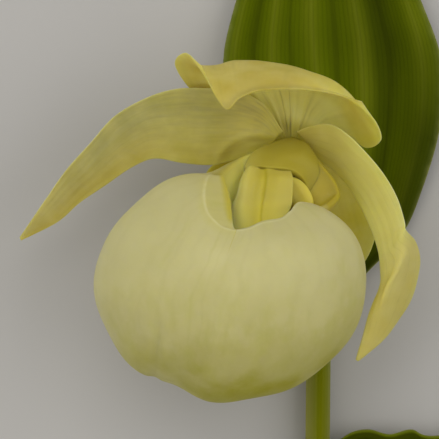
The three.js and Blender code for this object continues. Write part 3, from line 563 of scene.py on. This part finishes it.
def petal_material(name, first, second, turn, veins, marks=(), flap=None, streaks=0.0):
    """Petal tissue. Its colour runs from base to tip through the stops of first on one side of the blade and
    through those of second on the other, changing over within turn. marks are (across, width, strength) of
    darker lines near the base, flap is the screen colour of the margin at across 0, and streaks is how strong
    its dull streaks are."""
    look = Surface(name, 0.55, subsurface=1.0, reach=0.0012)
    side = look.math("DIVIDE", look.math("SUBTRACT", look.across, turn[0]), turn[1] - turn[0], clamp=True)
    side = look.math("SMOOTH_MIN", side, 1.0, 0.3)
    tone = look.mix(side, look.ramp(look.along, first), look.ramp(look.along, second))
    if flap:
        tone = look.tint(tone, flap, look.level(look.across, -12.0, 2.1))
    tone = look.tint(tone, (236, 228, 156), look.level(look.noise(4.5, 4.0), 0.7, -0.22))
    tone = look.tint(tone, (178, 166, 66), look.level(look.noise(7.0, 3.0), 1.6, -0.75), 0.35)
    if streaks:
        tone = look.tint(tone, (160, 153, 106), dull_streaks(look), streaks)
    fading = look.level(look.along, -8.0, 8.0)
    strong = look.product(look.math("POWER", look.stripes(veins, 0.07), 8.0), fading)
    faint = look.product(look.stripes(veins * 4.1, 0.04), fading, 0.06)
    lines = look.math("MULTIPLY_ADD", strong, 0.16, faint)
    tone = look.tint(tone, (150, 140, 48), lines, look.level(look.noise(6.0), 2.4, -0.8))
    near = look.level(look.along, -3.4, 1.8)
    for across, width, strength in marks:
        tone = look.tint(tone, (120, 116, 34), look.bell(look.across, across, width), near, strength)
    tone = look.tint(tone, (236, 228, 170), look.margins(30.0), 0.2)
    look.colour(tone)
    look.bump(look.math("MULTIPLY_ADD", strong, 0.5, look.product(look.noise(0.45, 3.0), 0.6)), 0.05, 0.35)
    return look.material


def dull_streaks(look):
    """Streaks along the blade, strongest at across 0 and fading out towards the tip."""
    place = {"X": look.product(look.along, 9 * MM), "Y": look.product(look.across, 14 * MM)}
    stretched = look.add("ShaderNodeCombineXYZ", place).outputs[0]
    streak = look.level(look.noise(0.9, 4.0, place=stretched), 2.6, -1.05)
    fading = look.product(look.level(look.across, -1.1, 1.1), look.level(look.along, -1.7, 1.6))
    return look.product(streak, fading)


def dorsal_material():
    # Along the blade, the inner face near the base (0.15 to 0.45) is painted much paler than the arched band
    # beyond it: painted light, for light shining through the sepal onto its inner face, while the band, which
    # faces the light, is painted darker.
    return petal_material(
        "dorsal_tissue",
        tones((0.0, 206, 196, 66), (0.07, 208, 198, 84), (0.15, 243, 231, 134), (0.45, 241, 228, 128),
              (0.6, 200, 184, 80), (0.93, 198, 180, 76), (1.0, 176, 160, 64)),
        tones((0.0, 206, 196, 66), (0.07, 208, 198, 84), (0.15, 245, 234, 142), (0.3, 246, 235, 142),
              (0.4, 226, 212, 100), (0.5, 221, 204, 88), (0.6, 236, 220, 98), (0.93, 238, 222, 96),
              (1.0, 196, 180, 76)),
        turn=(0.62, 0.84), veins=7, flap=(208, 190, 82),
        marks=[(FURROWS[0], 0.007, 0.35), (FURROWS[1], 0.006, 0.35), (0.69, 0.012, 0.2), (0.4, 0.006, 0.15),
               (0.48, 0.06, 0.1)])


def petal_left_material():
    return petal_material(
        "petal_left_tissue",
        tones((0.0, 214, 203, 76), (0.12, 210, 198, 100), (0.35, 180, 174, 93), (0.6, 172, 168, 102),
              (1.0, 182, 172, 92)),
        tones((0.0, 214, 203, 76), (0.12, 217, 207, 104), (0.35, 192, 182, 86), (0.6, 187, 174, 80),
              (1.0, 186, 172, 80)),
        turn=(0.3, 0.9), veins=6, streaks=0.7)


def petal_right_material():
    # On the second side, the flap beyond the keel is darker and greyer from 0.62 to 0.78 along: partly its
    # own colour, partly painted shade, as that flap faces away from the light.
    return petal_material(
        "petal_right_tissue",
        tones((0.0, 206, 194, 84), (0.25, 236, 228, 128), (0.5, 232, 223, 134), (0.62, 228, 216, 126),
              (0.78, 222, 206, 108), (1.0, 224, 205, 106)),
        tones((0.0, 202, 190, 84), (0.25, 228, 218, 120), (0.5, 226, 216, 126), (0.62, 204, 190, 104),
              (0.78, 208, 194, 104), (1.0, 222, 204, 106)),
        turn=(0.3, 0.7), veins=6)


def synsepal_material():
    return petal_material(
        "synsepal_tissue", tones((0.0, 212, 196, 66), (1.0, 206, 192, 62)),
        tones((0.0, 214, 198, 72), (1.0, 200, 188, 60)), turn=(0.3, 0.7), veins=7)


def pouch_material():
    """Cream, greener below, and more olive on the wings beside the column, with a painted highlight along the
    front of the rim, painted shade on the right wing's rim and painted light and shade across the left wing.
    Along is 0 to RIM_AT on the turned-in margin and goes on to 1 at the foot; across is the way round the
    mouth."""
    look = Surface("pouch_tissue", 0.5, subsurface=0.9, reach=0.0016)
    tone = look.mix(look.noise(9.0, 5.0), srgb(208, 200, 136), srgb(224, 215, 156))
    x, y, _ = look.parts(look.place)
    tone = greener_below(look, tone, x, y)
    tone = olive_wings(look, tone, x, y)
    veins = look.math("POWER", look.stripes(26, 0.04), 4.0)
    tone = look.tint(tone, (170, 160, 80), veins, 0.05)
    strong = look.math("POWER", look.stripes(11, 0.05), 24.0)
    tone = look.tint(tone, (196, 192, 84), strong, look.level(look.noise(8.0), 3.0, -1.3), 0.3)
    off_the_back = look.math("ABSOLUTE", look.math("SUBTRACT", look.across, 0.5))
    front = look.past(off_the_back, 0.24, 40)
    # Painted highlight: a pale broken line along the front of the mouth's rim, where light catches its edge.
    rim = look.bell(look.along, RIM_AT, 0.0055)
    tone = look.tint(tone, (246, 240, 196), rim, front, look.product(look.noise(1.5), 0.6))
    tone = look.tint(tone, (234, 228, 180), look.level(look.noise(0.7, 3.0), 2.5, -1.5), 0.15)
    look.colour(tone)
    look.bump(look.math("MULTIPLY_ADD", veins, 0.2, look.product(look.noise(1.6, 4.0), 0.6)), 0.1, 0.35)
    return look.material


def greener_below(look, tone, x, y):
    """Green that grows in soft patches from the pouch's top to its foot, a little faster on its right."""
    top, depth = 21.7 * MM, 26.5 * MM
    sway = look.math("MULTIPLY_ADD", look.noise(8.0, 4.0), 0.016, -0.008)
    low = look.math("DIVIDE", look.math("SUBTRACT", look.math("ADD", y, sway), top), -depth)
    low = look.math("MULTIPLY_ADD", look.level(x, 100, 3.4), 0.3, low)
    green = look.ramp(low, shares((0.0, 0), (0.45, 0.16), (0.68, 0.4), (1.0, 1)))
    tone = look.tint(tone, (170, 162, 16), green)
    patch = look.level(look.noise(4.5, 6.0, (1.5, 0.8, 1)), 3.6, -1.6)
    return look.tint(tone, (186, 182, 70), patch, look.level(low, 1.8, 0.0), 0.4)


def olive_wings(look, tone, x, y):
    """The right wing, the left wing and the left lobe, each over its stretch of the mouth's list; painted
    shade along the right wing's rim, and painted light and shade across the left wing.
    """

    def within(start, end):
        return look.product(look.past(look.across, start / MOUTH_POINTS, 40),
                            look.past(look.across, end / MOUTH_POINTS, -40))

    right = look.mix(look.noise(3.0, 4.0), srgb(198, 180, 56), srgb(212, 194, 72))
    # Painted shade: the right wing's rim is darkened, dulling the light that its fold catches.
    right = look.tint(right, (160, 144, 34), look.bell(look.along, RIM_AT, 0.03), 0.55)
    rolled = look.past(look.along, RIM_AT + 0.1, -24)
    tone = look.mix(look.product(rolled, within(6.8, LEFT_WING)), tone, right)
    inside = look.past(look.along, RIM_AT + 0.035, -30)
    # Painted light and shade across the left wing: paler low down and towards the staminode, where its shade
    # falls, and darker at the upper left, where the light falls.
    left_wing_painted_light = look.level(y, -135, look.math("MULTIPLY_ADD", x, 168, 13.76))
    left = look.mix(left_wing_painted_light, srgb(172, 160, 68), srgb(255, 246, 128))
    tone = look.mix(look.product(inside, within(LEFT_WING, LEFT_LOBE)), tone, left)
    lobe = look.past(look.across, LEFT_LOBE / MOUTH_POINTS, 30)
    tone = look.tint(tone, (218, 208, 122), inside, lobe, 0.5)
    brink = look.level(look.along, -30.0, 1.6)
    return look.tint(tone, (212, 198, 84), brink, within(17.6, 22.0))


def leaf_material(name, furrows, shade_across, shade_along, corner=0.0, rim=40.0):
    """A pleated leaf: a dark vein in each furrow, lighter between, the bands partly painted shade of the
    pleats, and many fine veins along it. furrows are (across, turn) with a furrow at each whole turn, and the
    shades are stops by which the colour is multiplied; on the bract they are painted light and shade. corner
    is how much darker the base of the margin at across 1 is, as painted shade, and rim is how narrow the pale
    margins are."""
    look = Surface(name, 0.7, gloss=LEAF_GLOSS, subsurface=0.2, reach=0.0006)
    low, high = furrows[0][1], furrows[-1][1]
    turns = shares(*[(across, (turn - low) / (high - low)) for across, turn in furrows])
    turn = look.math("MULTIPLY_ADD", look.ramp(look.across, turns, ease=False), high - low, low)
    sway = look.math("MULTIPLY_ADD", look.noise(14.0, 2.0, (1, 0.3, 1)), 0.3, -0.15)
    phase = look.product(look.math("ADD", turn, sway), 2 * math.pi)
    furrow = look.math("MULTIPLY_ADD", look.math("COSINE", phase), 0.5, 0.5)
    crest = look.math("SUBTRACT", 1.0, furrow)
    patch = look.product(look.noise(9.0, 4.0, (1, 0.3, 1)), 0.6)
    # Bands lighter on the crests and darker in the furrows: partly the leaf's own colour, partly painted
    # shade of its pleats.
    tone = look.ramp(look.math("MULTIPLY_ADD", crest, 0.5, patch),
                     tones((0.15, 96, 110, 0), (0.5, 114, 130, 2), (0.95, 134, 146, 20)))
    tone = look.tint(tone, (72, 82, 0), look.math("POWER", furrow, 40.0), 0.35)
    tone = look.tint(tone, (158, 164, 50), look.math("POWER", crest, 60.0), 0.2)
    fine = look.math("POWER", look.stripes(50, 0.004), 3.0)
    tone = look.tint(tone, (74, 84, 0), fine, 0.2)
    # The shades multiply the colour across and along the blade; on the bract they are painted light and
    # shade.
    tone = look.mix(1.0, tone, look.ramp(look.across, shade_across), "MULTIPLY")
    tone = look.mix(1.0, tone, look.ramp(look.along, shade_along), "MULTIPLY")
    # Painted shade: the base of the margin at across 1 is darkened.
    dark = look.product(look.level(look.across, 6.0, -4.5), look.level(look.along, -5.0, 2.9))
    tone = look.tint(tone, (40, 50, 0), dark, corner)
    tone = look.tint(tone, (140, 144, 78), look.margins(rim), look.level(look.noise(2.0, 3.0), 1.6, -0.1))
    look.colour(tone)
    look.bump(look.math("MULTIPLY_ADD", fine, -0.7, look.noise(0.4, 2.0)), 0.06, 0.4)
    return look.material


def stem_material():
    """Finely ribbed, and paler on both sides of its outline: partly its down, partly a painted sheen of the
    down.
    """
    look = Surface("stem_tissue", 0.7, gloss=LEAF_GLOSS, subsurface=0.3, reach=0.0008, sheen=0.5)
    look.shader.inputs["Sheen Tint"].default_value = srgb(230, 225, 110)
    tone = look.mix(look.noise(3.0, 4.0, (1, 0.15, 1)), srgb(114, 119, 0), srgb(126, 130, 2))
    fine = look.stripes(22)
    tone = look.tint(tone, (140, 140, 50), fine, 0.12)
    # Painted sheen: paler on both sides of the stem, where its down catches the light at the outline.
    side = look.math("SINE", look.product(look.across, 2 * math.pi))
    tone = look.tint(tone, (160, 158, 84), look.level(side, 0.85, 0.0))
    other = look.math("POWER", look.level(side, -1.0, 0.0), 3.0)
    tone = look.tint(tone, (132, 134, 76), other, 0.8)
    look.colour(tone)
    look.bump(look.math("ADD", fine, look.noise(0.3, 2.0)), 0.06, 0.4)
    return look.material


def column_material(name, stops, cloud, shade=None):
    """Tissue of the column. Its colour runs across the piece and is multiplied by the shades along it, which
    on the staminode are painted light.
    """
    look = Surface(name, 0.5, subsurface=0.9, reach=0.0014)
    tone = look.tint(look.ramp(look.across, stops), cloud, look.noise(2.5, 3.0), 0.35)
    if shade:
        tone = look.mix(1.0, tone, look.ramp(look.along, shade), "MULTIPLY")
    look.colour(tone)
    look.bump(look.noise(0.5, 3.0), 0.05, 0.3)
    return look.material


# ---------------------------------------------------------------- the pieces


def build_stem_and_ovary():
    material = stem_material()

    def stem_ribs(t, angle):
        return STEM_RIB_HEIGHT * np.cos(angle * STEM_RIBS)

    def ovary_ribs(t, angle):
        return OVARY_RIB_HEIGHT * np.cos(angle * OVARY_RIBS) * np.sin(math.pi * t)

    radii = [STEM_RADIUS - SKIN] * len(STEM_PATH)
    make_piece("stem_look", limb(STEM_PATH, radii, 160, 66, stem_ribs), material, "stem")
    make_piece("ovary_look", limb(OVARY_PATH, OVARY_RADII, 80, 48, ovary_ribs), material, "ovary")


def build_bract():
    # The bract's shades are painted light and shade: lighter low down, where the flower shades it, a darker
    # band near 0.7 across, and with corner darker at the base of its right margin.
    material = leaf_material(
        "bract_tissue", BRACT_FURROWS,
        tones((0.0, 255), (0.45, 250), (0.62, 236), (0.7, 184), (0.76, 200), (0.8, 216), (0.92, 250)),
        tones((0.2, 250), (0.32, 250), (0.42, 230), (0.54, 210), (1.0, 210)), corner=0.8)
    across = np.array([-1, -0.55, 0, 0.55, 1])
    net = []
    for y, middle, half, height, rise in BRACT:
        sag = BRACT_SAG * across ** 2 * (half > 4)
        net.append(np.stack([middle + across * half, y - sag, height + rise * across ** 2], 1))

    def pleats(u, v, points):
        fold = BRACT_PLEAT_HEIGHT * np.cos(2 * math.pi * np.interp(v, *zip(*BRACT_FURROWS)))
        return fold * smooth(u * 4 - 0.4) * smooth((1 - u) * 6)

    shape = blade(net, 150, 180, LEAF_THICKNESS, LEAF_EDGE, pleats)
    make_piece("bract_look", shape, material, "bract")


def build_lower_leaf():
    material = leaf_material(
        "leaf_tissue", LEAF_FURROWS,
        tones((0.0, 205), (0.8, 190), (0.95, 160), (0.986, 160), (0.994, 230), (1.0, 240)),
        tones((0.0, 225), (1.0, 225)), rim=250.0)
    s = np.array([0, 0.25, 0.5, 0.75, 1])[:, None]
    tip = len(LEAF_MARGINS) - 1
    net = []
    for row, (lower, upper) in enumerate(LEAF_MARGINS):
        flat = np.array(lower) * (1 - s) + np.array(upper) * s
        rise = LEAF_BASE_RISE + 0 * s if row == 0 else LEAF_CUP * (2 * s - 1) ** 2 * (row < tip)
        net.append(np.concatenate([flat, LEAF_HEIGHT + rise], 1))

    def pleats(u, v, points):
        fold = -LEAF_PLEAT_HEIGHT * np.cos(2 * math.pi * np.interp(v, *zip(*LEAF_FURROWS)))
        return fold * smooth(u * 5) * smooth((1 - u) * 5)

    points, faces, uvs = blade(net, 160, 180, LEAF_THICKNESS, LEAF_EDGE, pleats)
    tube_points, tube_faces, tube_uvs = sheath()
    faces += [tuple(i + len(points) for i in face) for face in tube_faces]
    shape = np.concatenate([points, tube_points]), faces, np.concatenate([uvs, tube_uvs])
    make_piece("lower_leaf_look", shape, material, "lower_leaf")


def sheath():
    """The leaf's base, a tube round the stem."""
    inner = STEM_RADIUS + SHEATH_GAP
    y = np.linspace(SHEATH_FOOT_Y, SHEATH_TOP_Y, 40)
    angle = np.linspace(0, 2 * math.pi, 96, endpoint=False)
    x = np.interp(y, [SHEATH_FOOT_Y, SHEATH_TOP_Y], [SHEATH_FOOT_X, SHEATH_TOP_X])
    centres = np.stack([x, y, np.full_like(y, STEM_HEIGHT)], 1)
    ring = np.stack([np.cos(angle), 0 * angle, np.sin(angle)], 1)
    radii = (inner + SHEATH_WALL, inner)
    layers = [(centres[:, None] + ring[None] * radius).reshape(-1, 3) for radius in radii]
    points = np.concatenate(layers)
    faces = shell_faces(len(y), len(angle), True)
    layer = len(layers[0])
    last = (len(y) - 1) * len(angle)
    for j in range(len(angle)):
        k = (j + 1) % len(angle)
        faces.append((last + k, last + j, layer + last + j, layer + last + k))
    uvs = np.stack(np.meshgrid(np.linspace(0, 0.2, len(y)), angle / (2 * math.pi), indexing="ij"), -1)
    return points, outward(points, faces), np.tile(uvs.reshape(-1, 2), (2, 1))


def petal_relief(seed, count, depth, wave, own=None):
    """Low veins that fade out at a petal's base and tip, a flutter of its margins, and what is its own."""
    flutter = ripple(seed, 9, 13)
    uneven = ripple(seed + 1, 6, 9)

    def relief(u, v, points):
        veins = depth * np.cos(2 * math.pi * count * v + 2 * uneven(points))
        veins *= smooth(u * 6) * smooth((1 - u) * 4)
        margins = np.abs(2 * v - 1) ** 2.5 * smooth(u * 3) * smooth((1 - u) * 6)
        return veins + wave * flutter(points) * margins + (own(u, v, points) if own else 0)

    return relief


def hollow_by_the_lip(u, v, points):
    """The lower half of the left petal sinks in where it passes behind the lip, inside a low raised arc."""
    x = (points[..., 0] - HOLLOW_X) / HOLLOW_HALF_WIDTH
    y = (points[..., 1] - HOLLOW_Y) / HOLLOW_HALF_HEIGHT
    inside = 1 - x ** 2 - y ** 2
    return 0.15 * bell(inside, -0.08, 0.16) - 0.65 * smooth(inside / 0.5)


def midrib(u, v, points):
    """Two furrows with a swelling and two ridges beside them, along the dorsal sepal near its base."""
    near = smooth(u * 12) * smooth((0.5 - u) * 5)
    furrows = bell(v, FURROWS[0], 0.01) + bell(v, FURROWS[1], 0.01)
    swelling = smooth((v - 0.55) / 0.03) * smooth((0.68 - v) / 0.03)
    ridges = bell(v, 0.36, 0.012) + bell(v, 0.42, 0.01)
    return -(0.4 * swelling - 0.12 * furrows + 0.2 * ridges) * near


def build_petal(node, net, rows, columns, relief, material):
    shape = blade(net, rows, columns, PETAL_THICKNESS, PETAL_EDGE, relief)
    make_piece(node + "_look", shape, material, node)


def build_petals():
    back = petal_relief(3, 7, 0.02, 0.25, midrib)
    left = petal_relief(4, 5, 0.03, 0.2, hollow_by_the_lip)
    right = petal_relief(5, 5, 0.02, 0.15)
    below = petal_relief(6, 7, 0.03, 0.2)
    build_petal("dorsal_sepal", DORSAL_SEPAL, 130, 190, back, dorsal_material())
    build_petal("petal_left", PETAL_LEFT, 180, 90, left, petal_left_material())
    build_petal("petal_right", PETAL_RIGHT, 190, 70, right, petal_right_material())
    build_petal("synsepal", SYNSEPAL, 110, 90, below, synsepal_material())


def pouch_depth(height, depthways):
    fall_back = 1 - POUCH_RECEDE * smooth((height - 0.2) / 0.8)
    return np.where(depthways > 0, POUCH_FRONT * fall_back, POUCH_BACK)


def outline_radius(x, y):
    return around(POUCH_OUTLINE, (np.arctan2(y, x) / (2 * math.pi) + 1) % 1)


def ball_to_pouch(q):
    """Where points of a ball of radius 1 lie on the pouch."""
    radius = outline_radius(q[..., 0], q[..., 1])
    depth = pouch_depth(q[..., 1], q[..., 2])
    return q * np.stack([radius, radius, depth], -1) + POUCH_CENTRE


def pouch_to_ball(p):
    offset = p - POUCH_CENTRE
    radius = outline_radius(offset[..., 0], offset[..., 1])
    depth = pouch_depth(offset[..., 1] / radius, offset[..., 2])
    return offset / np.stack([radius, radius, depth], -1)


def pouch_grid(turn, inward, downward):
    """Rows of points: in from the fold of the margin to the rim, then down the wall almost to the foot."""
    rim, folded, blends, bends = zip(*MOUTH)
    edge = around(rim, turn)
    fold = around(folded, turn) - edge
    blend, bend = around(blends, turn), around(bends, turn)
    q = pouch_to_ball(edge)
    reach = np.linalg.norm(q, axis=1)
    start = q / reach[:, None]
    sweep = np.arccos(start @ POUCH_FOOT)
    lines = [edge + fold * w for w in inward]
    for s in downward:
        waist = WAIST_DEPTH * bump((MOUTH_POINTS * turn - WAIST_TURN) / 2) * bump((s - WAIST_AT) / WAIST_AT)
        own = (1 - smooth(s / blend)) * (reach - 1) - waist
        way = start * np.sin((1 - s) * sweep)[:, None] + POUCH_FOOT * np.sin(s * sweep)[:, None]
        way /= np.sin(sweep)[:, None]
        way[:, 2] -= bend * smooth(s * 6) * (1 - s)
        lines.append(ball_to_pouch(unit(way) * (1 + own)[:, None]))
    return np.array(lines)


def pouch_normals(grid):
    normals = normals_of(grid, ring=True)
    return normals if (normals * (grid - grid.mean((0, 1)))).sum() > 0 else -normals


def pouch_relief(grid, s):
    """A soft unevenness of the wall, and the pleat at its lower left."""
    swell = SWELL_HEIGHT * ripple(5, 8, 16)(grid) * smooth((s - RIM_AT) * 5)
    x, y, z = grid[..., 0], grid[..., 1], grid[..., 2]
    middle = PLEAT_SLANT * (y - PLEAT_Y) + PLEAT_X
    return swell - PLEAT_DEPTH * bell(x, middle, 1.0) * smooth((PLEAT_TOP_Y - y) / 6) * (z > PLEAT_BACK_Z)


def build_pouch(rows=110, columns=240, fold_rows=16):
    turn = np.arange(columns) / columns
    downward = (np.arange(rows) / rows) ** 1.25
    grid = pouch_grid(turn, np.linspace(1, 0, fold_rows, endpoint=False), downward)
    s = np.concatenate([RIM_AT * np.arange(fold_rows) / fold_rows, RIM_AT + (1 - RIM_AT) * downward])
    s = s[:, None] * np.ones(columns)
    grid = grid + pouch_normals(grid) * pouch_relief(grid, s)[..., None]
    foot = ball_to_pouch(POUCH_FOOT[None])[0]
    sides = [side * POUCH_WALL / 2 for side in (1, -1)]
    layers = [(grid + side * pouch_normals(grid)).reshape(-1, 3) for side in sides]
    points = np.concatenate(layers + [[foot + side * unit(foot - POUCH_CENTRE)] for side in sides])
    faces = shell_faces(fold_rows + rows, columns, True)
    layer = len(layers[0])
    last = layer - columns
    for j in range(columns):
        k = (j + 1) % columns
        faces.append((last + k, last + j, 2 * layer))
        faces.append((layer + last + j, layer + last + k, 2 * layer + 1))
    uvs = np.stack([s, np.broadcast_to(turn, s.shape)], -1).reshape(-1, 2)
    shape = points, outward(points, faces), np.concatenate([uvs, uvs, [[1, 0], [1, 0]]])
    make_piece("pouch_look", shape, pouch_material(), "lip_pouch")


def build_column():
    # The hood grows darker towards its right end, partly towards the olive of the right wing and partly as
    # painted shade on its upper side, which faces the light; the shades along it make it darker towards its
    # top.
    hood = column_material(
        "column_tissue",
        tones((0.0, 222, 210, 98), (0.3, 206, 192, 70), (0.7, 202, 187, 62), (1.0, 190, 175, 52)),
        (214, 200, 84), tones((0.0, 205), (0.35, 226), (0.7, 238)))
    # The staminode's paler left edge (the first stop across) and its paler lower part (the shades along) are
    # painted light, lifting the shade in the crevice beside the left wing and the shade under the pouch's
    # rim.
    shield = column_material(
        "staminode_tissue",
        tones((0.0, 255, 248, 156), (0.12, 248, 236, 128), (0.3, 240, 225, 104), (0.5, 229, 213, 76),
              (0.6, 218, 203, 42), (0.7, 234, 218, 86), (1.0, 233, 217, 106)),
        (244, 229, 108), tones((0.0, 228), (0.5, 228), (0.75, 244), (1.0, 255)))
    anther = column_material(
        "anther_tissue", tones((0.0, 228, 212, 84), (1.0, 228, 212, 84)), (234, 222, 120))
    for node, shape, material in (
            ("column", blade(COLUMN, 70, 80, COLUMN_THICKNESS, COLUMN_EDGE), hood),
            ("staminode", blade(STAMINODE, 70, 80, STAMINODE_THICKNESS, STAMINODE_EDGE), shield),
            ("anther_left", pod(*ANTHER_LEFT), anther),
            ("anther_right", pod(*ANTHER_RIGHT), anther),
            ("stigma", pod(*STIGMA), hood)):
        make_piece(node + "_look", shape, material, node)


# ---------------------------------------------------------------- stage

PHOTO_SIDE = 439  # pixels of the picture's side
PIXEL = 0.185  # millimetres that a pixel shows at the middle of the pouch
SEAT_PIXEL = (290, 138)  # where the picture shows the seat of the flower
VIEW_HEIGHT = 900  # of the camera above the middle of the pouch
SENSOR = 36
FLOOR_SIDE = 3.0  # metres from the middle to each side


def build_camera():
    wide = PHOTO_SIDE * PIXEL
    camera = bpy.data.objects.new("camera", bpy.data.cameras.new("camera"))
    camera.data.sensor_width = SENSOR
    camera.data.lens = SENSOR * VIEW_HEIGHT / wide
    camera.data.clip_start = 0.01
    camera.data.clip_end = 20
    middle = np.array([PHOTO_SIDE / 2 - SEAT_PIXEL[0], SEAT_PIXEL[1] - PHOTO_SIDE / 2]) * PIXEL
    camera.location = (np.array([*middle, POUCH_CENTRE[2] + VIEW_HEIGHT]) + SEAT) * MM
    bpy.context.scene.collection.objects.link(camera)
    bpy.context.scene.camera = camera


def build_floor():
    look = Surface("floor_paper", 0.9)
    look.colour(look.mix(look.noise(40.0), srgb(196, 193, 188), srgb(200, 197, 192)))
    mesh = bpy.data.meshes.new("floor")
    corners = [(x * FLOOR_SIDE, y * FLOOR_SIDE, 0) for x, y in ((-1, -1), (1, -1), (1, 1), (-1, 1))]
    mesh.from_pydata(corners, [], [(0, 1, 2, 3)])
    mesh.uv_layers.new(name=UV_LAYER)
    mesh.materials.append(look.material)
    floor = bpy.data.objects.new("floor", mesh)
    bpy.context.scene.collection.objects.link(floor)


def build_light(name, offset, size, power, colour=(1, 1, 1)):
    """A soft square light, placed from the middle of the pouch and shining at it."""
    light = bpy.data.objects.new(name, bpy.data.lights.new(name, "AREA"))
    light.data.size = size
    light.data.energy = power
    light.data.color = colour
    light.location = (POUCH_CENTRE + SEAT) * MM + np.array(offset)
    light.rotation_euler = (-Vector(offset)).to_track_quat("-Z", "Y").to_euler()
    bpy.context.scene.collection.objects.link(light)


def build_lights():
    build_light("key", (-0.15, 0.5, 0.75), 0.7, 2.0, (1, 0.99, 0.96))
    build_light("left", (-0.7, 0.0, 0.7), 0.8, 1.4)
    build_light("right", (0.7, 0.0, 0.7), 0.8, 2.2)
    world = bpy.data.worlds.new("studio")
    world.use_nodes = True
    world.node_tree.nodes["Background"].inputs["Color"].default_value = (1, 1, 1, 1)
    world.node_tree.nodes["Background"].inputs["Strength"].default_value = 0.4
    bpy.context.scene.world = world
    bpy.context.scene.view_settings.view_transform = "Standard"


build_camera()
build_floor()
build_lights()
build_stem_and_ovary()
build_bract()
build_lower_leaf()
build_petals()
build_pouch()
build_column()
